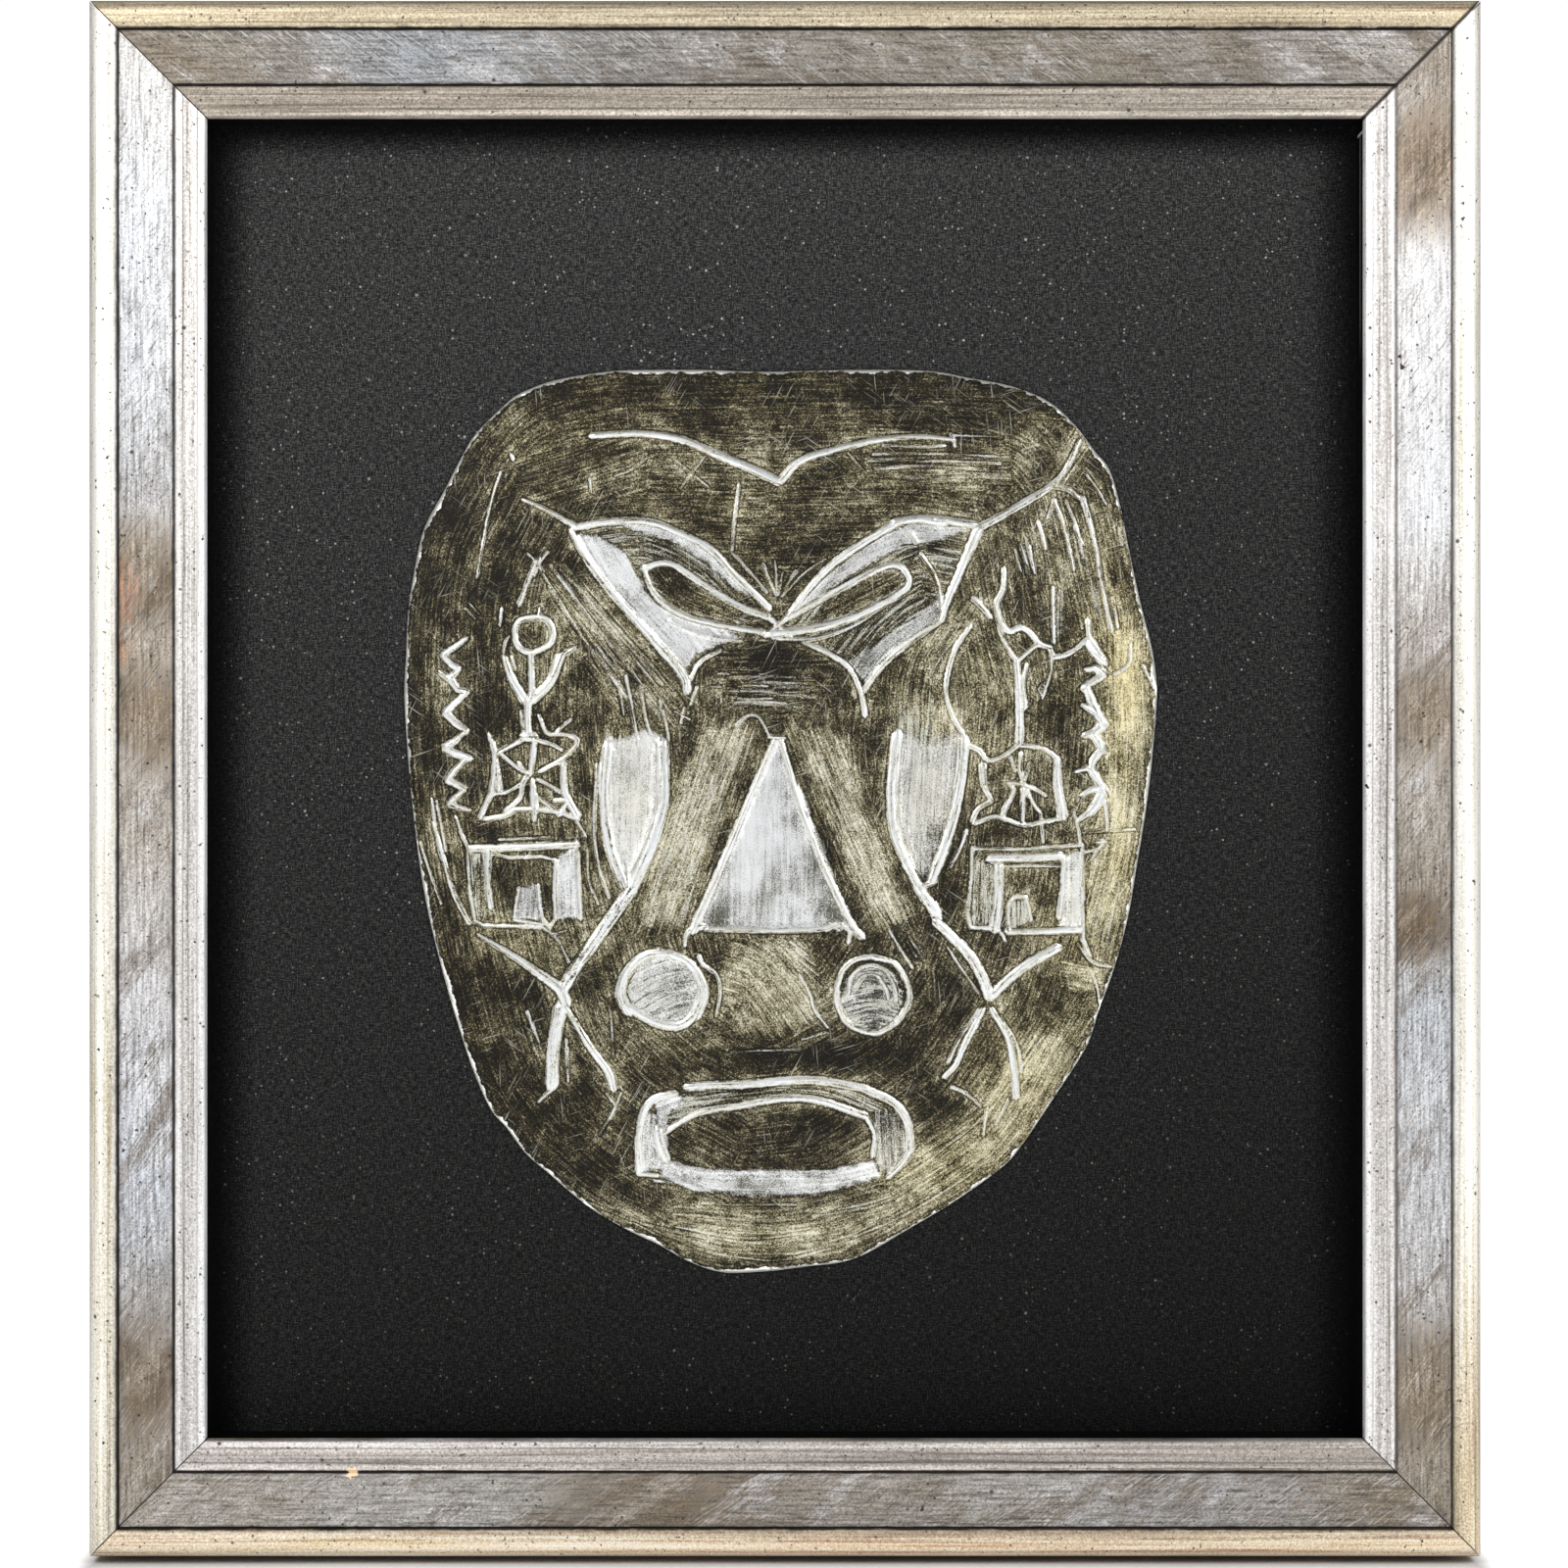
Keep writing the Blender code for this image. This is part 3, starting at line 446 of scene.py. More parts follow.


# These tones are partly the leaf's own and partly painted light: the left and right rails are painted
# lighter and the top and bottom rails darker, for how the lamps fall on each side.
panel_tone_and_painted_light = along_rails(
    # top
    (0.012, BROWN), (0.040, (0.175, 0.155, 0.125)), (0.068, (0.225, 0.24, 0.26)),
    (0.118, (0.215, 0.20, 0.175)), (0.165, (0.20, 0.175, 0.14)), (0.205, (0.235, 0.22, 0.20)),
    (0.245, TAUPE),
    # right
    (0.284, (0.31, 0.27, 0.225)), (0.295, (0.66, 0.66, 0.67)), (0.336, (0.66, 0.67, 0.69)),
    (0.352, (0.38, 0.355, 0.33)), (0.380, (0.35, 0.32, 0.28)), (0.396, (0.22, 0.185, 0.145)),
    (0.410, (0.42, 0.44, 0.47)), (0.445, (0.44, 0.445, 0.46)), (0.470, TAUPE),
    # bottom
    (0.505, BROWN), (0.535, BROWN), (0.560, SILVER), (0.590, (0.31, 0.30, 0.28)),
    (0.640, (0.205, 0.175, 0.14)), (0.672, (0.31, 0.305, 0.29)), (0.735, TAUPE),
    # left
    (0.765, TAUPE), (0.786, (0.21, 0.18, 0.145)), (0.812, (0.45, 0.48, 0.53)),
    (0.845, (0.54, 0.54, 0.55)), (0.866, (0.38, 0.35, 0.31)), (0.908, (0.30, 0.265, 0.22)),
    (0.920, (0.46, 0.47, 0.49)), (0.960, (0.58, 0.60, 0.63)), (0.990, (0.50, 0.49, 0.48)))
cloudiness = along_rails((0.285, grey(1)), (0.297, grey(0.12)), (0.338, grey(0.12)), (0.352, grey(1)),
                         (0.908, grey(1)), (0.928, grey(0.25)), (0.985, grey(0.25)))
# Painted light here too: cream on the side rails, darker tan on the top rail.
outer_tone_and_painted_light = along_rails(
    (0.015, TAN), (0.120, (0.52, 0.46, 0.35)), (0.235, TAN), (0.262, CREAM), (0.435, CREAM), (0.480, TAN),
    (0.512, (0.78, 0.67, 0.52)), (0.560, (0.66, 0.55, 0.42)), (0.620, (0.72, 0.60, 0.46)),
    (0.690, (0.80, 0.72, 0.60)), (0.735, (0.66, 0.55, 0.42)), (0.757, (0.64, 0.61, 0.53)),
    (0.820, (0.76, 0.74, 0.68)), (0.880, CREAM))
# Painted light here too: the inner band is lighter on the side rails, darkest on the top rail.
inner_tone_and_painted_light = along_rails(
    (0.015, (0.36, 0.325, 0.275)), (0.235, (0.50, 0.46, 0.41)), (0.262, (0.76, 0.76, 0.77)),
    (0.485, (0.69, 0.69, 0.70)), (0.512, (0.40, 0.37, 0.34)), (0.735, (0.60, 0.58, 0.57)),
    (0.762, (0.68, 0.69, 0.70)), (0.985, grey(0.80)))
print("nodes for the tones:", len(leaf.nodes))

# %% [markdown]
# The borders between the bands are a little soft, because the leaf was laid by hand. Each band then
# takes its own tone, and painted light and shade across its rounding: painted highlights on the crest
# and the beads, painted shade between them.
# %% Tell the three bands apart
PANEL_BEGINS, PANEL_ENDS, INNER_BEGINS = (0.260, 0.272), (0.732, 0.724), (0.726, 0.736)
on_panel = leaf.times(leaf.step(band, *PANEL_BEGINS), leaf.step(band, *PANEL_ENDS))
on_inner = leaf.step(band, *INNER_BEGINS)
tone = leaf.blend(on_panel, leaf.blend(on_inner, outer_tone_and_painted_light, inner_tone_and_painted_light), panel_tone_and_painted_light)
# Painted highlights on the crest and the beads, painted shade at the outer edge and on the inner flat.
band_painted_light_and_shade = leaf.ramp(
    band, (0.000, (0.55, 0.53, 0.50)), (0.044, (0.80, 0.78, 0.74)), (0.130, (1.0, 0.99, 0.96)),
    (0.220, (0.76, 0.74, 0.70)), (0.272, grey(0.92)), (0.470, grey(1.0)),
    (0.715, (0.90, 0.89, 0.88)), (0.755, (1.0, 0.98, 0.95)), (0.810, (0.68, 0.66, 0.64)),
    (0.890, (0.68, 0.66, 0.64)), (0.945, (1.0, 0.99, 0.97)), (1.000, grey(1.0)))
tone = leaf.blend(1.0, tone, band_painted_light_and_shade, "MULTIPLY")
print("nodes after the bands:", len(leaf.nodes))

# %% [markdown]
# Grain and fibres run along each rail. The brushed marks and the clouds lean across the panel, and
# all of them lean the same way, except on the bottom rail, where they lean the other way.
# %% Grain, clouds, scratches and flecks
BRUSH_LEAN = math.radians(-34)
grain = leaf.noise(leaf.stretch(section_uv, (34.0, 2300.0, 1.0)), detail=4.0, roughness=0.62)
long_grain = leaf.noise(leaf.stretch(section_uv, (11.0, 900.0, 1.0)), detail=3.0, roughness=0.6)
on_bottom = leaf.times(leaf.step(place_on_rails, 0.4999, 0.5001), leaf.step(place_on_rails, 0.7501, 0.7499))
brushed_way = leaf.nodes.new("ShaderNodeCombineXYZ")
leaf.put(along, brushed_way.inputs["X"])
leaf.put(leaf.times(inward, leaf.math("MULTIPLY_ADD", on_bottom, -2.0, 1.0)), brushed_way.inputs["Y"])
leaning = leaf.stretch(brushed_way.outputs["Vector"], (1.0, 1.0, 1.0), turn=(0, 0, BRUSH_LEAN))
slant = leaf.noise(leaf.stretch(leaning, (120.0, 1500.0, 1.0)), detail=5.0, roughness=0.75)
speckle = leaf.noise(leaf.place, 1500.0, 3.0, 0.7)
ragged = leaf.math("MULTIPLY_ADD", slant, 0.7, -0.35)
brown_cloud = leaf.noise(leaf.stretch(leaning, (20.0, 62.0, 1.0)), detail=6.0, roughness=0.74, warp=0.3)
brown_cloud = leaf.step(leaf.plus(brown_cloud, ragged), 0.515, 0.585)
pale_cloud = leaf.noise(leaf.stretch(leaning, (24.0, 75.0, 1.0), move=(3, 5, 1)), detail=6.0,
                        roughness=0.74, warp=0.3)
pale_cloud = leaf.step(leaf.math("SUBTRACT", pale_cloud, ragged), 0.53, 0.63)
brown_cloud = leaf.times(brown_cloud, cloudiness)
pale_cloud = leaf.times(pale_cloud, cloudiness)
tone = leaf.blend(leaf.times(on_panel, leaf.times(brown_cloud, 0.72)), tone,
                  (0.14, 0.110, 0.078))
tone = leaf.blend(leaf.times(on_panel, leaf.times(pale_cloud, 0.55)), tone, (0.56, 0.56, 0.57))
off_panel = leaf.math("SUBTRACT", 1.0, on_panel)
tone = leaf.blend(0.45, tone, leaf.ramp(grain, (0.30, (0.28, 0.26, 0.23)), (0.50, grey(0.5)),
                                        (0.72, grey(0.75))), "OVERLAY")
fibres = leaf.noise(leaf.stretch(section_uv, (75.0, 950.0, 1.0)), detail=5.0, roughness=0.72)
tone = leaf.blend(leaf.times(on_panel, 0.95), tone,
                  leaf.ramp(fibres, (0.34, (0.17, 0.155, 0.135)), (0.49, (0.49, 0.485, 0.48)),
                            (0.66, (0.76, 0.76, 0.77))), "OVERLAY")
tone = leaf.blend(leaf.times(off_panel, 0.90), tone,
                  leaf.ramp(long_grain, (0.32, (0.19, 0.175, 0.16)), (0.47, (0.47, 0.465, 0.46)),
                            (0.66, grey(0.66))), "OVERLAY")
tone = leaf.blend(0.90, tone, leaf.ramp(speckle, (0.32, (0.22, 0.21, 0.20)), (0.50, grey(0.5)),
                                        (0.68, grey(0.78))), "OVERLAY")
scratched = leaf.times(on_panel, leaf.step(leaf.noise(leaf.stretch(section_uv, (14.0, 34.0, 1.0)),
                                                      detail=3.0), 0.38, 0.58))
scratches = leaf.times(scratched, leaf.step(slant, 0.53, 0.62))
tone = leaf.blend(leaf.times(scratches, 0.60), tone, (0.62, 0.63, 0.64))
dark_scratches = leaf.times(scratched, leaf.step(slant, 0.46, 0.36))
tone = leaf.blend(leaf.times(dark_scratches, 0.80), tone, (0.070, 0.055, 0.040))
flecks = leaf.math("MAXIMUM", leaf.specks(leaf.place, 190.0, 0.36, 0.17, 0.5),
                   leaf.specks(leaf.place, 480.0, 0.34, 0.27, 0.5))
tone = leaf.blend(leaf.times(flecks, 0.9), tone, (0.035, 0.030, 0.026))
print("nodes after the grain:", len(leaf.nodes))

# %% [markdown]
# Dark wax fills both grooves and smears out beside them. It is thick on the top and the bottom
# rail, a little thinner on the left one and mostly gone from the right one. The mitres have
# opened a little, most of all at the top right corner.
# %% Wax in the grooves, and the open mitres
TOP_RIGHT_X, TOP_RIGHT_Z = (0.16, 0.17), (-0.05, -0.04)
wander = leaf.noise(leaf.stretch(section_uv, (120.0, 300.0, 1.0)), detail=4.0, roughness=0.7)
wandering = leaf.plus(inward, leaf.math("MULTIPLY_ADD", wander, 0.9 * MM, -0.45 * MM))
groove_depth = along_rails((0.02, grey(0.95)), (0.245, grey(1.0)), (0.255, grey(0.30)),
                           (0.495, grey(0.45)), (0.505, grey(0.90)), (0.745, grey(0.95)),
                           (0.755, grey(0.85)), (0.99, grey(0.70)))


def beside(line, full, none):
    """1 in a groove, falling to 0 beside it."""
    return leaf.step(leaf.math("ABSOLUTE", leaf.math("SUBTRACT", wandering, line)), none, full)


wax = leaf.math("MAXIMUM", beside(FIRST_GROOVE, 0.32 * MM, 0.62 * MM),
                beside(SECOND_GROOVE, 0.32 * MM, 0.62 * MM))
wax_smear = leaf.math("MAXIMUM", beside(FIRST_GROOVE, 0.3 * MM, 1.6 * MM),
                      beside(SECOND_GROOVE, 0.3 * MM, 1.6 * MM))
wax_smear = leaf.times(wax_smear, leaf.step(leaf.noise(section_uv, 160.0, 4.0, 0.7), 0.42, 0.72))
tone = leaf.blend(leaf.times(wax_smear, groove_depth), tone, (0.07, 0.058, 0.048))
tone = leaf.blend(leaf.times(wax, groove_depth), tone, (0.012, 0.010, 0.009))
leaf_x, _, leaf_z = leaf.parts(leaf.place)
from_mitre = leaf.math("SUBTRACT", leaf.math("ABSOLUTE", leaf_x),
                       leaf.math("ABSOLUTE", leaf.math("SUBTRACT", leaf_z, CENTRE_Z)))
from_mitre = leaf.math("ABSOLUTE", leaf.plus(from_mitre, FRAME_HALF_HEIGHT - FRAME_HALF_WIDTH))
top_right = leaf.times(leaf.step(leaf_x, *TOP_RIGHT_X), leaf.step(leaf_z, *TOP_RIGHT_Z))
mitre_reach = leaf.math("MULTIPLY_ADD", top_right, 0.55 * MM, 0.30 * MM)
open_mitre = leaf.step(leaf.math("DIVIDE", from_mitre, mitre_reach), 1.3, 0.8)
tone = leaf.blend(leaf.times(open_mitre, leaf.math("MULTIPLY_ADD", top_right, 0.4, 0.45)), tone,
                  (0.030, 0.024, 0.020))
print("nodes after the grooves:", len(leaf.nodes))

# %% [markdown]
# The largest chips, specks and rubbed spots have places of their own: where each one is, how far
# it reaches in millimetres and its colour. Noise gives them ragged edges.
# %% Chips and rubbed spots
MARKS = [
    ((-0.1780, -0.0312, -0.4255), 1.7, (0.95, 0.95, 0.93)),
    ((-0.1780, -0.0312, -0.4237), 1.5, (0.95, 0.95, 0.93)),
    ((-0.1326, -0.0310, -0.4369), 2.7, (0.86, 0.66, 0.44)),
    ((0.1786, -0.0312, -0.2265), 1.1, (0.01, 0.01, 0.01)),
    ((0.1891, -0.0312, -0.0981), 1.3, (0.03, 0.02, 0.02)),
    ((0.1884, -0.0312, -0.0950), 0.9, (0.03, 0.02, 0.02)),
    ((-0.1985, -0.0330, -0.3320), 1.2, (0.05, 0.04, 0.03)),
    ((0.0420, -0.0325, -0.4480), 1.1, (0.04, 0.03, 0.03)),
]
chipped = leaf.math("MULTIPLY_ADD", leaf.noise(leaf.place, 800.0, 2.0), 1.6, -0.8)
for spot, reach, colour in MARKS:
    mark = leaf.plus(near(leaf, leaf.place, spot, reach * MM), chipped)
    tone = leaf.blend(leaf.step(mark, 0.30, 0.42), tone, colour)
RUBS = [((-0.2085, -0.0330, -0.1680), 15, (1.0, 0.66, 0.50)),
        ((-0.2075, -0.0330, -0.1850), 10, (1.0, 0.72, 0.56)),
        ((-0.1950, -0.0330, -0.2060), 22, (0.66, 0.58, 0.48)),
        ((-0.1990, -0.0330, -0.1600), 22, (0.72, 0.65, 0.56)),
        ((0.1985, -0.0330, -0.2050), 22, (0.76, 0.68, 0.59)),
        ((0.1990, -0.0330, -0.0380), 28, (0.74, 0.65, 0.55)),
        ((0.1925, -0.0330, -0.2700), 14, (0.62, 0.53, 0.43)),
        ((0.1960, -0.0330, -0.4100), 26, (0.74, 0.67, 0.58)),
        ((-0.1960, -0.0330, -0.4080), 24, (0.62, 0.54, 0.45)),
        ((-0.0450, -0.0330, -0.4490), 36, (0.74, 0.68, 0.60))]
peeling = leaf.plus(leaf.math("MULTIPLY_ADD", fibres, 2.2, -1.1),
                    leaf.math("MULTIPLY_ADD", speckle, 2.4, -1.2))
for spot, reach, colour in RUBS:
    nearness = near(leaf, leaf.place, spot, reach * MM)
    rub = leaf.plus(nearness, leaf.plus(peeling, ragged))
    rub = leaf.times(leaf.step(rub, 0.30, 0.50), leaf.step(nearness, 0.0, 0.25))
    tone = leaf.blend(leaf.times(rub, on_panel), tone, colour, "MULTIPLY")
print("chips and specks:", len(MARKS), "and rubbed spots:", len(RUBS))

# %% [markdown]
# Brushed leaf shines in streaks across its grain, so the shader is told which way the grain runs.
# The backs, the rebates and the sawn ends keep plain wood.
# %% Close both finishes
leaf_run = leaf.nodes.new("ShaderNodeTangent")
leaf_run.direction_type, leaf_run.uv_map = "UV_MAP", "section"
leaf.links.new(leaf_run.outputs["Tangent"], leaf.shader.inputs["Tangent"])
leaf.shader.inputs["Anisotropic"].default_value = 0.6
leaf.shader.inputs["Anisotropic Rotation"].default_value = 0.25
leaf.surface(
    Base_Color=tone, Metallic=0.45,
    Roughness=leaf.step(leaf.plus(grain, leaf.times(flecks, 0.4)), -0.2, 1.3),
    Normal=leaf.bump(leaf.plus(leaf.times(grain, 0.6), leaf.times(slant, 0.6)),
                     0.10 * MM, 0.5))

bare = Finish("bare_wood")
wood_grain = bare.noise(bare.stretch(bare.chart("section"), (14.0, 700.0, 1.0)), detail=5.0, roughness=0.6)
bare.surface(
    Base_Color=bare.ramp(wood_grain, (0.35, (0.30, 0.20, 0.11)), (0.55, (0.46, 0.33, 0.19)),
                         (0.75, (0.56, 0.42, 0.26))),
    Roughness=0.75, Normal=bare.bump(wood_grain, 0.2 * MM, 0.4))
for rail in rails:
    rail.data.materials.append(leaf.material)
    rail.data.materials.append(bare.material)
print("finishes on the rails:", [m.name for m in rails[0].data.materials])

# %% [markdown]
# ## Black board, lining and back
# These solids have the right shape already, so they stay and only get a finish. The board behind
# the mask is covered in a black paper with a fine tooth, and dust has settled on it. Its colour also
# holds painted light, lighter at the top left and darker towards the bottom, and a painted shadow
# along the strips at the top and the sides. The strips that line the box are the same black, a
# little smoother. The board that closes the back is brown hardboard, and the small fittings are
# plain steel.
# %% Finishes for the boards and strips
board = Finish("black_paper_board")
tooth = board.noise(board.place, 2100.0, 3.0, 0.75)
weave_x = board.noise(board.stretch(board.place, (2600.0, 1.0, 500.0)), detail=1.0)
weave_z = board.noise(board.stretch(board.place, (500.0, 1.0, 2600.0)), detail=1.0)
weave = board.plus(tooth, board.times(board.plus(weave_x, weave_z), 0.5))
cloth = board.ramp(board.times(weave, 0.5), (0.36, grey(0.001)),
                   (0.49, grey(0.0105)), (0.61, (0.060, 0.060, 0.058)))
dust = board.math("MAXIMUM", board.specks(board.place, 200.0, 0.5, 0.13, 0.7),
                  board.specks(board.place, 520.0, 0.65, 0.24, 0.7))
dust = board.times(dust, board.step(board.noise(board.place, 40.0, 3.0), 0.25, 0.65))
dusty = board.blend(board.times(dust, 0.9), cloth, (0.34, 0.34, 0.32))
board_x, _, board_z = board.parts(board.place)
# Painted light: lighter at the top left, darker towards the bottom.
painted_light_falloff = board.plus(board.times(board_z, 4.2), board.times(board_x, -1.1))
painted_light_falloff = board.step(painted_light_falloff, -1.9, -0.15)
# Painted shadow of the walls: darker close to the strips at the sides and the top.
from_side = board.math("SUBTRACT", SIGHT_HALF_WIDTH, board.math("ABSOLUTE", board_x))
from_top = board.math("SUBTRACT", CENTRE_Z + SIGHT_HALF_HEIGHT, board_z)
clear_of_painted_wall_shadow = board.times(board.step(from_side, 1.0 * MM, 13.0 * MM),
                         board.step(from_top, 1.0 * MM, 9.0 * MM))
shade = board.times(board.math("MULTIPLY_ADD", painted_light_falloff, 1.20, 0.28),
                    board.math("MULTIPLY_ADD", clear_of_painted_wall_shadow, 0.85, 0.15))
shade_colour = board.nodes.new("ShaderNodeCombineColor")
for channel in ("Red", "Green", "Blue"):
    board.put(shade, shade_colour.inputs[channel])
board.surface(Base_Color=board.blend(1.0, dusty, shade_colour.outputs["Color"], "MULTIPLY"),
              Roughness=0.95, Normal=board.bump(weave, 0.1 * MM, 0.5))
board.shader.inputs["Specular IOR Level"].default_value = 0.1

lining = Finish("black_lining")
fibre = lining.noise(lining.stretch(lining.place, (900.0, 300.0, 900.0)), detail=3.0)
lining_x, lining_y, lining_z = lining.parts(lining.place)
# Painted highlight on the right lining's corner: a thin pale upright line with a short tick across its top.
painted_hairline_highlight = lining.step(lining.math("ABSOLUTE", lining.plus(lining_y, 19.5 * MM)), 0.45 * MM, 0.2 * MM)
painted_hairline_highlight = lining.times(painted_hairline_highlight, lining.step(lining_z, -96 * MM, -80 * MM))
painted_hairline_highlight = lining.times(painted_hairline_highlight, lining.step(lining_z, -24.0 * MM, -25.0 * MM))
painted_corner_highlight = lining.times(lining.step(lining_z, -25.1 * MM, -24.9 * MM),
                     lining.step(lining_z, -24.1 * MM, -24.3 * MM))
painted_corner_highlight = lining.times(painted_corner_highlight, lining.step(lining_y, -14 * MM, -15 * MM))
painted_corner_highlight = lining.math("MAXIMUM", painted_corner_highlight, lining.times(painted_hairline_highlight, 0.6))
painted_corner_highlight = lining.times(painted_corner_highlight, lining.step(lining_x, 0.170, 0.171))
lining_black = lining.ramp(fibre, (0.35, grey(0.0012)), (0.65, (0.0045, 0.0045, 0.0048)))
lining.surface(
    Base_Color=lining.blend(painted_corner_highlight, lining_black, (0.42, 0.42, 0.40)),
    Roughness=0.95, Normal=lining.bump(fibre, 0.08 * MM, 0.5))
lining.shader.inputs["Specular IOR Level"].default_value = 0.04

hardboard = Finish("brown_hardboard")
pulp = hardboard.noise(hardboard.place, 900.0, 5.0, 0.7)
blotch = hardboard.noise(hardboard.place, 22.0, 3.0, 0.6)
pressed = hardboard.plus(hardboard.times(pulp, 0.72), hardboard.times(blotch, 0.28))
hardboard.surface(
    Base_Color=hardboard.ramp(pressed, (0.36, (0.14, 0.085, 0.045)), (0.50, (0.23, 0.145, 0.08)),
                              (0.64, (0.33, 0.22, 0.125))),
    Roughness=0.85, Normal=hardboard.bump(pulp, 0.15 * MM, 0.5))

steel = Finish("plain_steel")
brushed = steel.noise(steel.stretch(steel.place, (300.0, 300.0, 4000.0)), detail=2.0)
steel.surface(
    Base_Color=steel.ramp(brushed, (0.3, (0.42, 0.42, 0.41)), (0.7, (0.66, 0.66, 0.64))),
    Metallic=1.0, Roughness=steel.step(brushed, -0.3, 1.6), Normal=steel.bump(brushed, 0.05 * MM, 0.3))


def dress(node, finish):
    """Give a solid that stays its finish."""
    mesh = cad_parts[node].data
    mesh.materials.clear()
    mesh.materials.append(finish.material)


dress("mount_board", board)
dress("back_board", hardboard)
for name in sorted(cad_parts):
    if name.startswith("spacer"):
        dress(name, lining)
    elif name.startswith(("board_point", "hanger")):
        dress(name, steel)
print("dressed solids:", sum(not n.startswith(("frame_rail", "mask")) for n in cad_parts))

# %% [markdown]
# ## The drawing on the mask
# The mask's lines were pressed into the sheet by hand. They cross, swell and run out, so no grid
# of faces follows them. The drawing is kept here as strokes: the width at each end in millimetres,
# how thoroughly the stroke is rubbed bright, and the places that it runs through. Places are
# (x, z) in thousandths of the mask's height from its middle, the same as in the part's source.
# %% Outline of the sheet
UNIT = 0.2830 / 1000
OUTLINE = [
    (-16, 494), (-81, 496), (-143, 496), (-181, 495), (-219, 490), (-253, 483), (-286, 470), (-303, 457),
    (-334, 426), (-350, 400), (-369, 363), (-381, 342), (-393, 316), (-403, 269), (-409, 226), (-411, 183),
    (-413, 140), (-410, 83), (-405, 25), (-400, -18), (-394, -62), (-384, -114), (-368, -177), (-355, -221),
    (-338, -273), (-318, -318), (-300, -339), (-280, -366), (-254, -389), (-211, -425), (-168, -451),
    (-132, -468), (-102, -485), (-63, -498), (-16, -497), (27, -492), (83, -483), (143, -450),
    (193, -420), (242, -385), (265, -361), (303, -305), (338, -250), (352, -210), (369, -163),
    (384, -108), (394, -50), (404, 11), (410, 58), (412, 81), (415, 116), (416, 148),
    (411, 188), (398, 240), (386, 295), (376, 345), (364, 386), (348, 406), (326, 435),
    (297, 461), (256, 478), (210, 487), (163, 495), (79, 496),
]

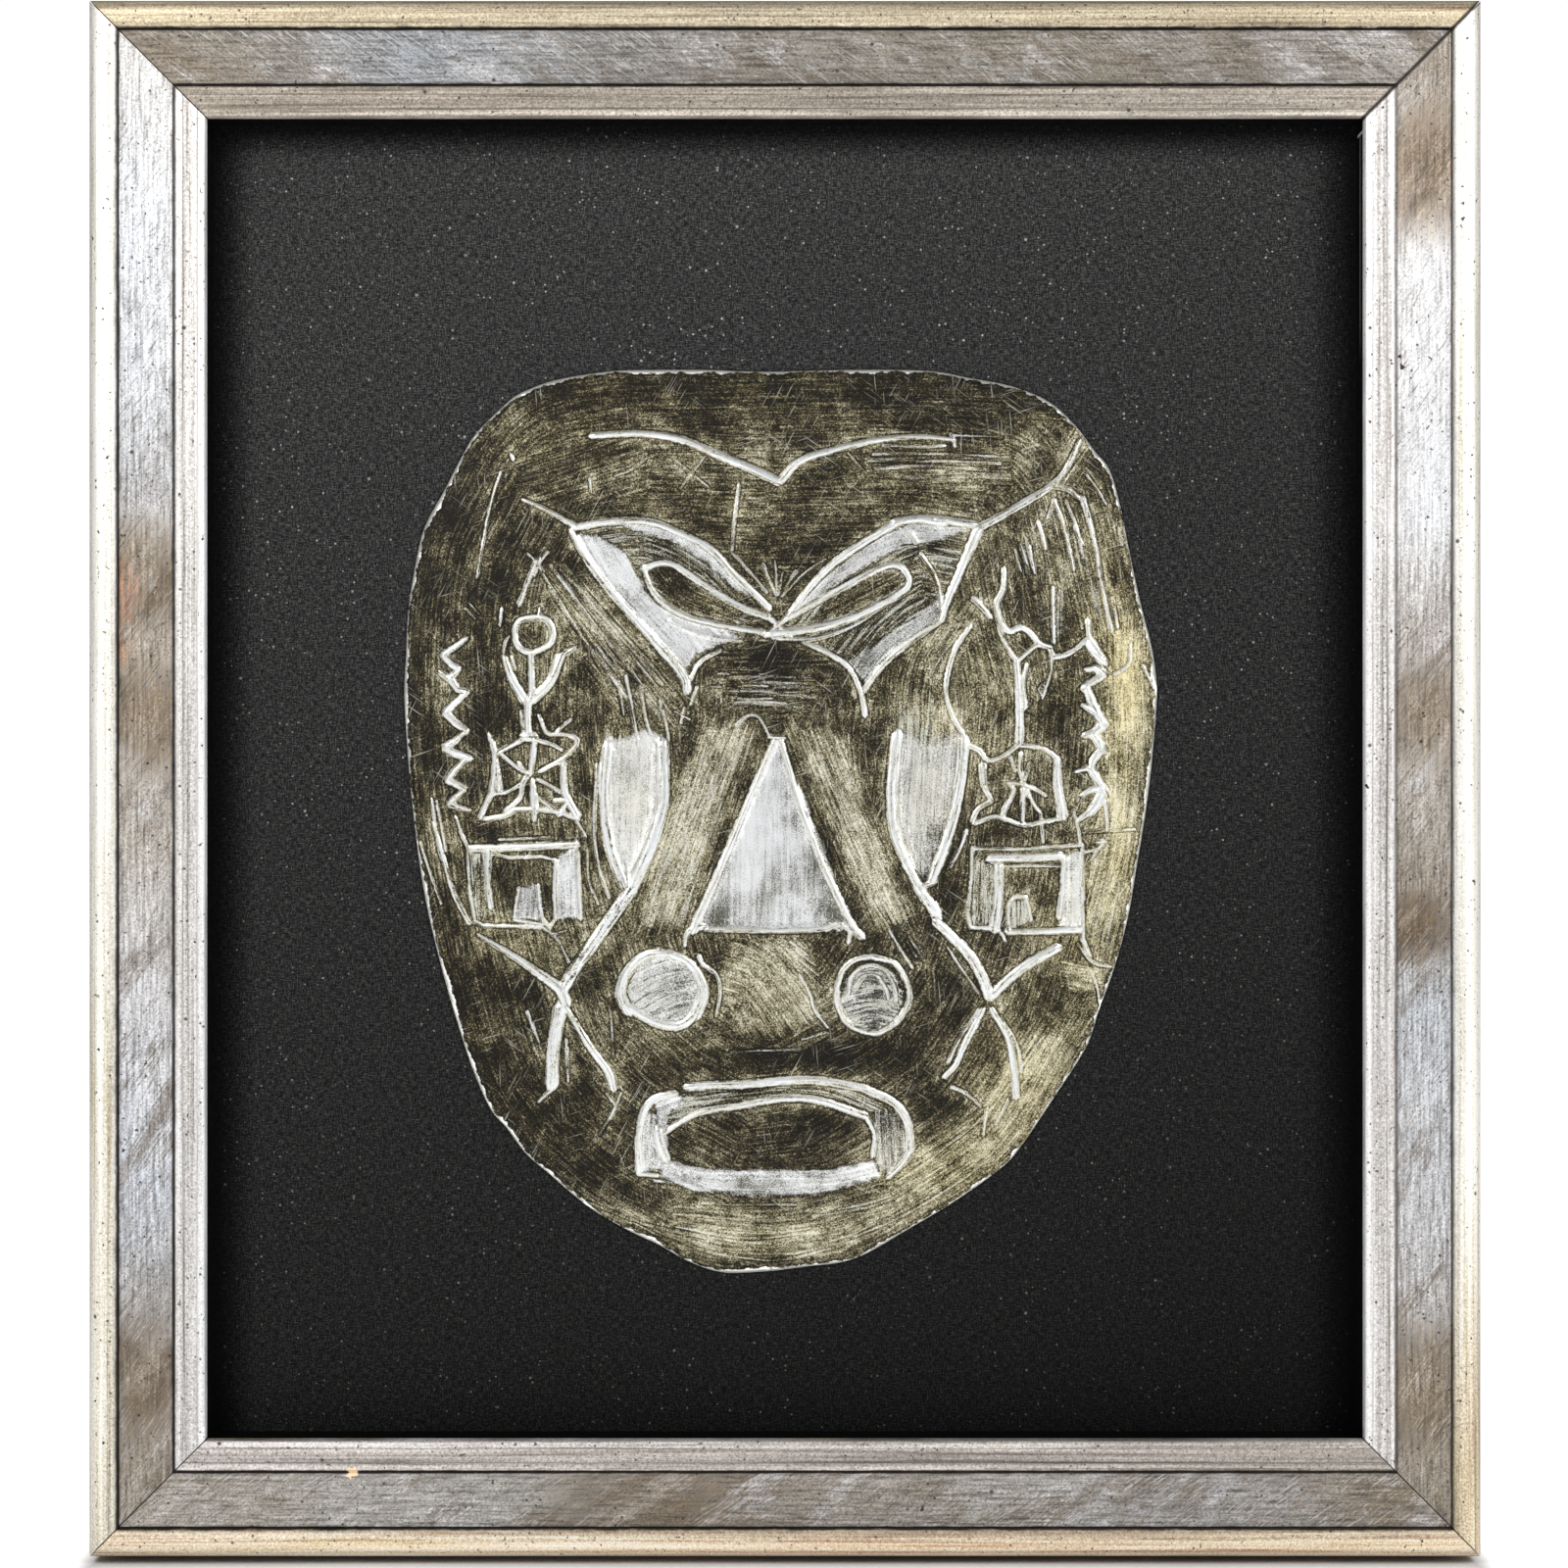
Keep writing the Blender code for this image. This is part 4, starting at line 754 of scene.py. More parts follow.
# %% Brows, eyes and forehead
BROW_AND_EYE_STROKES = [
    (1.9, 2.8, 1.0, [(-207, 423), (-175, 425), (-144, 425), (-108, 419), (-74, 405), (-36, 389), (0, 372)]),
    (2.6, 1.2, 1.0, [(2, 374), (22, 395), (56, 406), (100, 417), (146, 422), (192, 419)]),
    (0.8, 0.7, 0.7, [(114, 412), (152, 410), (183, 412)]),
    (0.9, 0.7, 0.8, [(189, 426), (194, 411)]),
    (1.0, 0.8, 0.8, [(-307, 383), (-319, 342), (-332, 267)]),
    (1.2, 1.0, 0.9, [(-295, 403), (-293, 397)]),
    (0.7, 0.6, 0.6, [(-208, 376), (-207, 361)]),
    (0.7, 0.6, 0.5, [(-181, 379), (-162, 386), (-146, 399), (-134, 403)]),
    (0.6, 0.6, 0.45, [(-116, 397), (-79, 367)]),
    (0.6, 0.6, 0.45, [(-109, 365), (-83, 400)]),
    (0.9, 0.9, 0.8, [(-44, 370), (-49, 332), (-52, 297)]),
    (0.9, 0.8, 0.8, [(-51, 293), (-32, 272), (-13, 250)]),
    (0.6, 0.6, 0.55, [(103, 402), (168, 403), (241, 400)]),
    (0.6, 0.6, 0.55, [(98, 395), (173, 395), (244, 393)]),
    (0.6, 0.6, 0.5, [(105, 387), (162, 389), (228, 386)]),
    (0.6, 0.6, 0.5, [(185, 382), (254, 380)]),
    (0.6, 0.6, 0.5, [(187, 423), (246, 421)]),
    (0.6, 0.5, 0.4, [(76, 403), (98, 378)]),
    (0.7, 0.7, 0.7, [(-3, 247), (-18, 282)]),
    (0.7, 0.6, 0.7, [(-2, 248), (-5, 285)]),
    (0.7, 0.6, 0.6, [(-1, 248), (4, 272)]),
    (0.7, 0.6, 0.7, [(1, 248), (19, 274)]),
    (0.7, 0.6, 0.7, [(3, 246), (25, 269), (51, 287)]),
    (1.0, 1.8, 0.95, [(-282, 353), (-254, 340), (-227, 325)]),
    (2.2, 2.2, 1.0, [(-227, 321), (-187, 328), (-144, 328), (-111, 316), (-74, 297), (-51, 272),
                     (-11, 233)]),
    (1.8, 3.0, 0.95, [(-229, 318), (-211, 286), (-184, 250), (-145, 206), (-106, 161), (-101, 142)]),
    (1.6, 1.2, 0.9, [(-97, 157), (-87, 174), (-64, 187)]),
    (2.0, 2.0, 1.0, [(-149, 278), (-120, 282), (-87, 261), (-45, 236), (-12, 223)]),
    (1.5, 2.0, 0.95, [(-149, 276), (-136, 247), (-109, 227), (-73, 216), (-16, 206)]),
    (1.0, 0.8, 0.8, [(-120, 220), (-79, 202), (-41, 196)]),
    (1.0, 0.8, 0.8, [(-90, 146), (-97, 127)]),
    (0.6, 0.6, 0.7, [(-114, 120), (-98, 111)]),
    (0.6, 0.6, 0.7, [(-104, 124), (-108, 107)]),
    (1.5, 1.5, 1.0, [(-15, 226), (12, 202)]),
    (1.5, 1.5, 1.0, [(12, 225), (-15, 203)]),
    (2.0, 2.6, 1.0, [(10, 224), (38, 261), (65, 286), (106, 313), (141, 330), (181, 327)]),
    (2.6, 2.4, 1.0, [(127, 328), (168, 331), (215, 325)]),
    (2.4, 2.0, 0.85, [(218, 320), (262, 345), (294, 364)]),
    (1.8, 1.4, 0.74, [(294, 364), (313, 382), (331, 418)]),
    (3.4, 2.0, 1.0, [(218, 318), (200, 276), (185, 241), (179, 220)]),
    (1.0, 0.9, 0.85, [(133, 321), (143, 314), (150, 304)]),
    (1.2, 1.0, 0.9, [(155, 293), (172, 266), (179, 231)]),
    (1.8, 1.8, 1.0, [(176, 218), (145, 197), (115, 172), (93, 143)]),
    (1.3, 1.8, 1.0, [(27, 195), (54, 183), (77, 167), (90, 140), (94, 115)]),
    (1.8, 1.8, 1.0, [(9, 222), (38, 238), (79, 261), (120, 280), (137, 275), (142, 258), (120, 241)]),
    (2.0, 2.6, 1.0, [(122, 242), (79, 222), (38, 211), (-10, 205)]),
    (1.2, 0.9, 0.75, [(-6, 200), (38, 199), (81, 213), (116, 235)]),
    (0.5, 0.5, 0.5, [(-57, 173), (-35, 174)]),
    (0.5, 0.5, 0.45, [(-67, 161), (-55, 160)]),
    (0.5, 0.5, 0.5, [(-29, 160), (-17, 160)]),
    (0.5, 0.5, 0.5, [(-77, 147), (-64, 147)]),
    (0.5, 0.5, 0.6, [(-38, 148), (-13, 147)]),
    (0.6, 0.5, 0.6, [(-42, 142), (-9, 141)]),
    (0.6, 0.5, 0.6, [(-45, 134), (-8, 134)]),
    (0.7, 0.6, 0.7, [(-48, 129), (-21, 130), (8, 128)]),
    (0.6, 0.5, 0.55, [(12, 128), (40, 130)]),
]

# %% Nose, nostrils and mouth
NOSE_AND_MOUTH_STROKES = [
    (1.0, 0.9, 0.85, [(-47, 104), (-34, 115), (-22, 113), (-10, 92)]),
    (1.6, 3.2, 1.0, [(-6, 87), (-34, 21), (-65, -54), (-94, -120)]),
    (1.6, 2.6, 1.0, [(2, 88), (22, 19), (49, -51), (79, -113), (91, -128)]),
    (1.6, 1.6, 1.0, [(-81, -119), (-38, -120), (-1, -121), (47, -119), (66, -113)]),
    (2.0, 1.4, 0.95, [(-85, -116), (-100, -122), (-103, -137)]),
    (1.8, 1.2, 0.9, [(68, -113), (77, -121), (76, -134)]),
    (1.4, 1.4, 0.9, [(-10, 92), (5, 91)]),
    (3.8, 2.6, 1.0, [(-166, -209), (-174, -189), (-166, -166), (-146, -148), (-120, -146)]),
    (2.4, 3.8, 1.0, [(-120, -146), (-101, -155), (-87, -172), (-83, -192), (-92, -213)]),
    (3.0, 2.6, 1.0, [(-92, -213), (-109, -225), (-133, -223), (-153, -213), (-168, -202)]),
    (1.8, 1.8, 1.0, [(102, -149), (127, -157), (141, -180), (142, -200), (129, -222)]),
    (1.6, 1.8, 1.0, [(129, -222), (106, -234), (79, -226), (65, -205), (63, -183)]),
    (1.8, 1.6, 1.0, [(63, -183), (71, -163), (85, -152), (102, -149)]),
    (1.0, 1.0, 0.85, [(77, -189), (79, -172), (94, -160), (114, -163), (126, -181), (129, -198)]),
    (0.8, 0.8, 0.7, [(83, -183), (92, -172), (106, -171), (116, -183), (120, -196)]),
    (0.9, 0.9, 0.75, [(-85, -158), (-69, -169), (-65, -189), (-69, -215)]),
    (0.9, 0.9, 0.8, [(23, -170), (34, -189), (40, -209), (54, -227)]),
    (0.6, 0.6, 0.6, [(-54, -254), (-5, -252), (24, -252)]),
    (0.6, 0.6, 0.6, [(25, -240), (51, -232)]),
    (0.6, 0.5, 0.6, [(12, -133), (31, -148)]),
    (0.6, 0.5, 0.6, [(18, -142), (40, -159)]),
    (0.6, 0.5, 0.6, [(23, -153), (44, -170)]),
    (0.6, 0.5, 0.6, [(27, -163), (47, -183)]),
    (0.6, 0.6, 0.7, [(-133, -139), (-114, -146)]),
    (1.4, 1.0, 0.8, [(-88, -148), (-83, -159), (-77, -161)]),
    (2.4, 2.6, 1.0, [(-103, -293), (-73, -291), (-40, -290), (5, -286), (45, -286), (92, -294)]),
    (2.6, 3.0, 1.0, [(92, -294), (127, -311), (141, -333), (144, -363)]),
    (2.0, 2.0, 0.9, [(144, -363), (133, -380), (120, -392)]),
    (1.6, 2.6, 1.0, [(-124, -343), (-105, -330), (-83, -320), (-44, -314), (5, -306), (45, -308),
                     (94, -325)]),
    (1.8, 1.4, 0.9, [(96, -326), (105, -345), (103, -369)]),
    (2.4, 2.8, 0.95, [(-114, -300), (-137, -306), (-149, -321), (-154, -352), (-154, -384)]),
    (3.2, 3.2, 1.0, [(-133, -341), (-130, -358), (-124, -373)]),
    (1.2, 1.2, 0.8, [(-155, -389), (-133, -391)]),
    (0.6, 0.6, 0.55, [(-137, -397), (-98, -402), (-60, -421)]),
    (0.6, 0.6, 0.55, [(-85, -421), (-38, -423), (18, -423)]),
    (0.6, 0.6, 0.5, [(-175, -366), (-167, -389)]),
    (0.6, 0.6, 0.4, [(137, -380), (155, -360)]),
]

# %% Cheeks: leaves, crossed stalks and legs
CHEEK_STROKES = [
    (4.6, 4.6, 1.0, [(-129, 83), (-128, 51), (-129, 16), (-142, -27), (-161, -71)]),
    (4.4, 3.6, 0.75, [(-163, -75), (-192, -118), (-222, -160), (-236, -183)]),
    (3.8, 3.6, 0.95, [(-188, 81), (-192, 28), (-186, -27), (-170, -71)]),
    (1.2, 1.0, 0.8, [(-200, 61), (-203, -5), (-199, -47), (-187, -85)]),
    (0.7, 0.6, 0.7, [(-211, -32), (-209, -67), (-199, -92)]),
    (0.8, 0.8, 0.8, [(-152, 148), (-146, 110), (-137, 88), (-126, 88)]),
    (0.8, 0.8, 0.8, [(-168, 159), (-161, 120), (-155, 83)]),
    (0.8, 0.8, 0.75, [(-121, 88), (-124, 105), (-132, 131)]),
    (0.9, 0.8, 0.7, [(-177, 153), (-171, 116)]),
    (1.2, 3.6, 0.95, [(-331, -126), (-313, -137), (-291, -150), (-263, -169), (-242, -185), (-234, -200)]),
    (4.2, 4.4, 0.95, [(-241, -206), (-248, -251), (-250, -291)]),
    (1.2, 0.9, 0.8, [(-252, -297), (-265, -310)]),
    (0.9, 0.8, 0.75, [(-234, -241), (-232, -287)]),
    (1.6, 2.8, 0.9, [(-234, -206), (-209, -247), (-188, -276), (-182, -295)]),
    (0.7, 0.7, 0.8, [(-190, -300), (-180, -314), (-185, -328)]),
    (0.7, 0.7, 0.8, [(-174, -300), (-182, -317), (-197, -346)]),
    (0.9, 0.8, 0.75, [(-277, -210), (-271, -227), (-264, -244)]),
    (0.7, 0.6, 0.75, [(-261, -117), (-247, -128), (-238, -142), (-231, -156)]),
    (0.7, 0.6, 0.6, [(-250, -126), (-234, -121)]),
    (0.7, 0.6, 0.6, [(-196, -194), (-186, -207), (-182, -260)]),
    (4.0, 3.4, 1.0, [(130, 94), (126, 62), (124, 23), (129, -19), (152, -71)]),
    (0.9, 0.8, 0.85, [(139, -9), (144, -36), (153, -61)]),
    (3.6, 3.0, 0.95, [(203, 88), (199, 43), (188, -9), (168, -66)]),
    (1.2, 1.0, 0.75, [(206, -11), (197, -34), (188, -52)]),
    (3.4, 3.6, 0.95, [(153, -74), (163, -88), (174, -103)]),
    (1.8, 1.8, 0.9, [(153, -74), (170, -68)]),
    (3.0, 3.4, 0.95, [(172, -111), (205, -143), (221, -168), (231, -194)]),
    (0.7, 0.7, 0.8, [(185, -140), (202, -166), (219, -190)]),
    (3.0, 3.0, 1.0, [(307, -140), (275, -157), (252, -175), (235, -192)]),
    (2.0, 1.8, 0.95, [(224, -208), (205, -244), (194, -269), (181, -282)]),
    (1.0, 1.0, 0.8, [(218, -208), (198, -239), (185, -267)]),
    (2.0, 2.2, 0.95, [(234, -208), (252, -240), (258, -274), (261, -305)]),
    (0.8, 0.8, 0.75, [(241, -214), (261, -246), (267, -278)]),
    (1.0, 0.8, 0.8, [(189, -293), (205, -300), (222, -315)]),
    (0.9, 0.8, 0.75, [(252, -307), (239, -335)]),
    (0.9, 0.8, 0.75, [(228, -318), (224, -346)]),
    (1.6, 1.4, 0.85, [(210, 214), (192, 185), (183, 148), (189, 117), (203, 92)]),
    (1.6, 1.5, 0.95, [(213, 244), (223, 234), (232, 223)]),
    (0.8, 0.8, 0.8, [(221, 250), (222, 239)]),
    (0.9, 0.9, 0.85, [(122, -121), (133, -140), (147, -162)]),
    (0.6, 0.5, 0.55, [(135, -124), (150, -150)]),
    (0.6, 0.5, 0.55, [(142, -127), (159, -155)]),
    (0.6, 0.5, 0.55, [(105, -94), (120, -118)]),
    (0.6, 0.5, 0.55, [(114, -90), (129, -116)]),
    (0.6, 0.5, 0.45, [(77, 94), (78, 67), (81, 40)]),
]

# %% Flowers, shields and zigzags
FIGURE_STROKES = [
    (1.8, 1.8, 1.0, [(-290, 213), (-284, 220), (-269, 223), (-256, 221), (-249, 210), (-250, 196),
                     (-259, 189), (-273, 184), (-285, 189), (-290, 200), (-290, 213)]),
    (0.9, 0.9, 0.8, [(-263, 233), (-264, 222)]),
    (1.6, 1.4, 0.9, [(-268, 284), (-278, 258), (-286, 237)]),
    (0.8, 0.8, 0.8, [(-269, 269), (-261, 287), (-254, 295)]),
    (0.8, 0.7, 0.7, [(-276, 293), (-267, 284), (-259, 274)]),
    (0.9, 0.9, 0.85, [(-297, 202), (-301, 195), (-303, 184)]),
    (0.9, 0.8, 0.8, [(-305, 233), (-307, 214)]),
    (1.9, 2.2, 1.0, [(-273, 184), (-272, 141), (-276, 128), (-276, 96)]),
    (3.0, 3.2, 0.95, [(-280, 92), (-269, 92)]),
    (0.8, 0.8, 0.8, [(-284, 120), (-282, 98)]),
    (1.8, 3.2, 1.0, [(-302, 179), (-294, 156), (-281, 134)]),
    (0.9, 0.9, 0.8, [(-294, 180), (-290, 166)]),
    (1.4, 1.8, 0.8, [(-224, 190), (-234, 184)]),
    (3.0, 3.2, 1.0, [(-240, 180), (-252, 152), (-271, 133)]),
    (1.6, 2.0, 0.95, [(-319, 95), (-313, 75), (-314, 51), (-316, 31)]),
    (1.2, 2.2, 0.8, [(-310, 62), (-307, 34)]),
    (2.2, 1.6, 0.95, [(-316, 31), (-323, 16), (-329, 3)]),
    (1.4, 1.4, 0.95, [(-308, 75), (-295, 82), (-280, 89)]),
    (1.2, 1.0, 0.9, [(-267, 88), (-249, 83), (-239, 77)]),
    (1.2, 1.4, 0.95, [(-264, 115), (-255, 96), (-241, 95), (-224, 92), (-222, 83), (-237, 68), (-263, 54)]),
    (0.9, 0.8, 0.8, [(-244, 98), (-229, 111)]),
    (1.2, 1.4, 0.9, [(-307, 73), (-286, 56), (-274, 51)]),
    (1.9, 1.7, 0.95, [(-269, 85), (-271, 67), (-273, 51)]),
    (1.2, 1.1, 0.9, [(-265, 45), (-254, 39), (-242, 31)]),
    (1.6, 1.5, 0.9, [(-278, 47), (-282, 40), (-285, 25), (-301, 11)]),
    (0.9, 0.8, 0.8, [(-286, 39), (-300, 31), (-315, 29)]),
    (0.9, 0.9, 0.8, [(-286, 64), (-278, 51)]),
    (1.2, 2.8, 0.95, [(-271, 44), (-269, 16)]),
    (2.4, 1.2, 0.95, [(-269, 16), (-269, 0)]),
    (1.4, 1.5, 0.85, [(-264, 25), (-247, 11)]),
    (2.0, 2.4, 0.9, [(-237, 62), (-236, 34), (-228, 16), (-221, 4)]),
    (1.2, 1.2, 0.9, [(-247, 22), (-233, 21), (-242, 5)]),
    (1.5, 1.4, 0.95, [(-323, 1), (-299, 6), (-289, 12), (-247, 10), (-223, 2)]),
    (1.0, 0.8, 0.85, [(-222, -1), (-213, -17)]),
    (0.9, 0.8, 0.85, [(-356, 4), (-351, -10), (-344, -25)]),
    (1.8, 1.8, 0.9, [(247, 277), (246, 254), (239, 241), (240, 228), (251, 208), (265, 212), (276, 206),
                     (285, 195), (298, 190)]),
    (1.4, 1.6, 0.95, [(239, 224), (246, 200), (261, 174)]),
    (1.3, 1.3, 0.95, [(261, 174), (272, 184), (285, 193), (298, 189), (301, 180), (319, 184), (338, 198)]),
    (2.0, 2.8, 1.0, [(261, 174), (263, 148), (264, 118), (264, 88)]),
    (1.2, 1.4, 0.9, [(272, 172), (268, 148), (271, 124)]),
    (1.2, 1.0, 0.85, [(299, 187), (298, 163), (289, 135)]),
    (0.8, 0.8, 0.85, [(285, 144), (289, 149), (293, 144), (289, 139), (285, 144)]),
    (1.3, 1.3, 0.95, [(210, 82), (220, 77), (229, 66), (245, 70), (263, 83)]),
    (1.2, 1.3, 0.9, [(267, 82), (286, 80), (299, 74), (306, 67)]),
    (2.6, 1.4, 0.9, [(223, 61), (225, 39), (233, 22)]),
    (1.4, 1.4, 0.85, [(233, 21), (218, 12), (212, -2)]),
    (1.4, 1.3, 0.95, [(215, -3), (238, 4), (267, -5), (288, -2), (310, 2)]),
    (2.6, 3.4, 1.0, [(306, 66), (306, 39), (312, 5)]),
    (0.9, 0.9, 0.8, [(254, 69), (259, 54)]),
    (1.4, 1.5, 0.9, [(266, 74), (265, 57), (269, 39)]),
    (1.2, 1.2, 0.8, [(276, 64), (269, 44)]),
    (1.2, 1.1, 0.85, [(271, 38), (282, 34), (293, 27)]),
    (1.4, 1.2, 0.85, [(272, 34), (278, 21), (287, 9)]),
    (1.8, 1.4, 0.8, [(268, 34), (267, -3)]),
    (0.9, 1.8, 0.85, [(268, 39), (251, 41), (258, 34), (245, 6)]),
    (0.9, 0.7, 0.8, [(288, 5), (290, -24)]),
    (1.0, 0.8, 0.85, [(323, 12), (329, -12), (331, -26)]),
]

ZIGZAG_STROKES = [
    (1.6, 2.2, 0.95, [(-344, 200), (-358, 190), (-370, 182)]),
    (2.2, 2.0, 0.95, [(-370, 182), (-360, 171), (-352, 167)]),
    (1.8, 1.8, 0.9, [(-373, 163), (-363, 155), (-352, 166)]),
    (2.4, 1.8, 0.95, [(-363, 157), (-354, 143), (-342, 141)]),
    (1.6, 2.6, 0.95, [(-344, 140), (-356, 130), (-368, 118)]),
    (2.8, 1.8, 0.95, [(-367, 118), (-356, 107), (-343, 98)]),
    (1.4, 2.8, 0.95, [(-345, 98), (-356, 88), (-368, 80)]),
    (3.0, 2.0, 0.95, [(-367, 80), (-356, 73), (-339, 68)]),
    (1.6, 2.4, 0.95, [(-345, 67), (-356, 56), (-365, 44)]),
    (2.6, 1.6, 0.95, [(-364, 44), (-354, 39), (-345, 34)]),
    (1.4, 2.4, 0.95, [(-346, 34), (-355, 26), (-363, 18)]),
    (2.2, 1.2, 0.9, [(-361, 18), (-352, 14), (-340, 11)]),
    (1.8, 2.2, 0.95, [(339, 220), (341, 202), (360, 174)]),
    (2.0, 2.8, 0.95, [(338, 196), (347, 183), (358, 174)]),
    (1.6, 2.6, 0.9, [(337, 166), (347, 168), (357, 161)]),
    (2.6, 2.0, 0.95, [(356, 160), (345, 153), (334, 145)]),
    (2.8, 2.8, 0.95, [(339, 145), (345, 129), (358, 105)]),
    (1.4, 3.2, 0.95, [(333, 127), (347, 118), (354, 109)]),
    (3.4, 2.0, 1.0, [(354, 103), (345, 96), (335, 93)]),
    (2.6, 3.2, 1.0, [(345, 96), (351, 87), (355, 77)]),
    (3.2, 2.2, 1.0, [(354, 77), (345, 66), (343, 55)]),
    (1.0, 2.0, 0.9, [(326, 54), (337, 57), (345, 55)]),
    (2.6, 3.4, 1.0, [(344, 54), (351, 43), (358, 31)]),
    (1.2, 2.6, 0.9, [(332, 27), (343, 34), (354, 36)]),
    (3.6, 3.0, 1.0, [(355, 29), (350, 19), (343, 10)]),
    (2.4, 1.0, 0.95, [(343, 10), (334, 4), (328, -1)]),
    (1.6, 1.0, 0.9, [(359, 21), (361, 6), (361, -9)]),
]

# %% Houses, drawn with straight lines
HOUSE_STROKES = [
    (0.8, 1.2, 0.9, [(-351, -13), (-343, -30), (-341, -76), (-335, -111), (-326, -116), (-261, -117)]),
    (2.4, 2.4, 1.0, [(-339, -31), (-304, -30), (-248, -28), (-222, -26)]),
    (0.9, 0.9, 0.9, [(-315, -36), (-298, -41), (-261, -40), (-246, -44)]),
    (0.7, 0.7, 0.8, [(-308, -21), (-252, -19)]),
    (1.9, 1.8, 0.95, [(-319, -35), (-320, -71), (-317, -96)]),
    (1.6, 1.8, 1.0, [(-245, -44), (-246, -77), (-245, -107)]),
    (1.2, 1.6, 0.95, [(-222, -23), (-220, -68), (-218, -108)]),
    (1.0, 1.2, 0.8, [(-245, -107), (-252, -118), (-259, -109)]),
    (1.0, 1.0, 0.8, [(-286, -74), (-289, -92), (-291, -107)]),
    (1.0, 1.0, 0.85, [(-265, -71), (-263, -90), (-260, -110)]),
    (1.2, 1.0, 0.9, [(-291, -109), (-260, -114)]),
    (1.2, 1.3, 0.95, [(212, -30), (212, -61), (207, -102), (210, -118), (235, -119)]),
    (0.9, 1.0, 0.9, [(213, -31), (266, -32), (332, -27)]),
    (2.6, 2.6, 0.95, [(231, -42), (273, -41), (310, -39)]),
    (0.6, 0.6, 0.8, [(248, -50), (308, -50)]),
    (3.0, 3.4, 1.0, [(241, -51), (241, -93), (237, -118)]),
    (1.0, 0.8, 0.85, [(241, -119), (248, -132)]),
    (1.8, 1.8, 1.0, [(313, -42), (312, -77), (307, -107)]),
    (1.2, 1.2, 1.0, [(334, -27), (334, -129)]),
    (1.6, 2.4, 0.95, [(250, -123), (300, -122), (332, -120)]),
    (1.6, 1.2, 0.9, [(252, -122), (252, -94), (259, -84), (271, -84), (276, -110)]),
    (1.6, 1.2, 0.85, [(334, -131), (342, -149)]),
    (0.8, 0.8, 0.8, [(334, -36), (350, -32), (343, -44)]),
    (1.2, 1.0, 0.75, [(350, -23), (360, -23), (352, -31)]),
]

# %% Scratches at the temples and edges
EDGE_STROKES = [
    (1.2, 1.5, 0.8, [(-381, -3), (-368, -47), (-358, -81), (-341, -113)]),
    (0.9, 0.8, 0.7, [(-395, -24), (-384, -60), (-372, -92)]),
    (1.0, 0.8, 0.75, [(-383, 24), (-376, -23), (-368, -51)]),
    (0.7, 0.7, 0.7, [(-377, 21), (-371, -9), (-367, -34)]),
    (0.7, 0.6, 0.5, [(-266, 280), (-222, 213), (-168, 135)]),
    (0.7, 0.6, 0.5, [(-252, 281), (-198, 209), (-146, 142)]),
    (0.6, 0.6, 0.45, [(-241, 276), (-189, 218), (-129, 148)]),
    (0.6, 0.6, 0.45, [(-254, 256), (-211, 192), (-179, 137)]),
    (0.6, 0.6, 0.45, [(-227, 267), (-168, 202), (-116, 143)]),
    (0.7, 0.6, 0.6, [(-346, 233), (-334, 222)]),
    (0.7, 0.6, 0.6, [(-341, 238), (-330, 227)]),
    (1.8, 1.2, 0.8, [(301, 368), (319, 364), (329, 355)]),
    (2.0, 1.4, 0.75, [(334, 355), (344, 320), (350, 293), (353, 269)]),
    (1.2, 1.6, 0.95, [(354, 264), (360, 237), (366, 208)]),
    (1.0, 1.2, 0.85, [(302, 353), (311, 332), (319, 300), (324, 276)]),
    (1.4, 1.0, 0.8, [(285, 329), (289, 316), (293, 298)]),
    (0.6, 0.6, 0.7, [(265, 304), (272, 282)]),
    (0.6, 0.6, 0.7, [(271, 311), (278, 278)]),
    (0.6, 0.6, 0.7, [(259, 298), (266, 274)]),
    (0.6, 0.6, 0.6, [(276, 302), (281, 272)]),
    (0.9, 0.8, 0.8, [(325, 324), (329, 313), (334, 304)]),
    (0.6, 0.6, 0.8, [(339, 380), (350, 365), (360, 348)]),
    (0.8, 0.7, 0.7, [(303, 354), (295, 332)]),
    (0.8, 0.6, 0.6, [(315, 352), (328, 321), (334, 289)]),
    (1.2, 1.2, 0.9, [(301, 256), (301, 226), (302, 196)]),
    (0.9, 0.9, 0.85, [(387, 194), (386, 174), (379, 166), (369, 161)]),
    (0.9, 0.8, 0.9, [(400, 171), (406, 159), (413, 145)]),
    (0.8, 0.8, 0.6, [(367, 246), (373, 213)]),
    (0.9, 0.7, 0.9, [(374, 322), (378, 303)]),
    (0.6, 0.6, 0.6, [(334, -13), (360, -12), (392, -10)]),
    (0.9, 0.8, 0.7, [(328, -136), (345, -156), (365, -161)]),
    (0.8, 0.7, 0.7, [(343, -163), (350, -183), (353, -202)]),
    (0.6, 0.5, 0.45, [(-211, -421), (-146, -445), (-81, -460)]),
    (0.6, 0.5, 0.4, [(-114, -447), (-38, -460), (38, -453)]),
    (0.6, 0.5, 0.4, [(-81, -475), (-5, -484), (60, -471)]),
    (0.6, 0.5, 0.4, [(38, -436), (114, -421), (179, -382)]),
    (0.6, 0.5, 0.45, [(81, -460), (146, -430), (211, -389)]),
    (0.6, 0.5, 0.45, [(168, -371), (233, -317), (287, -241)]),
]

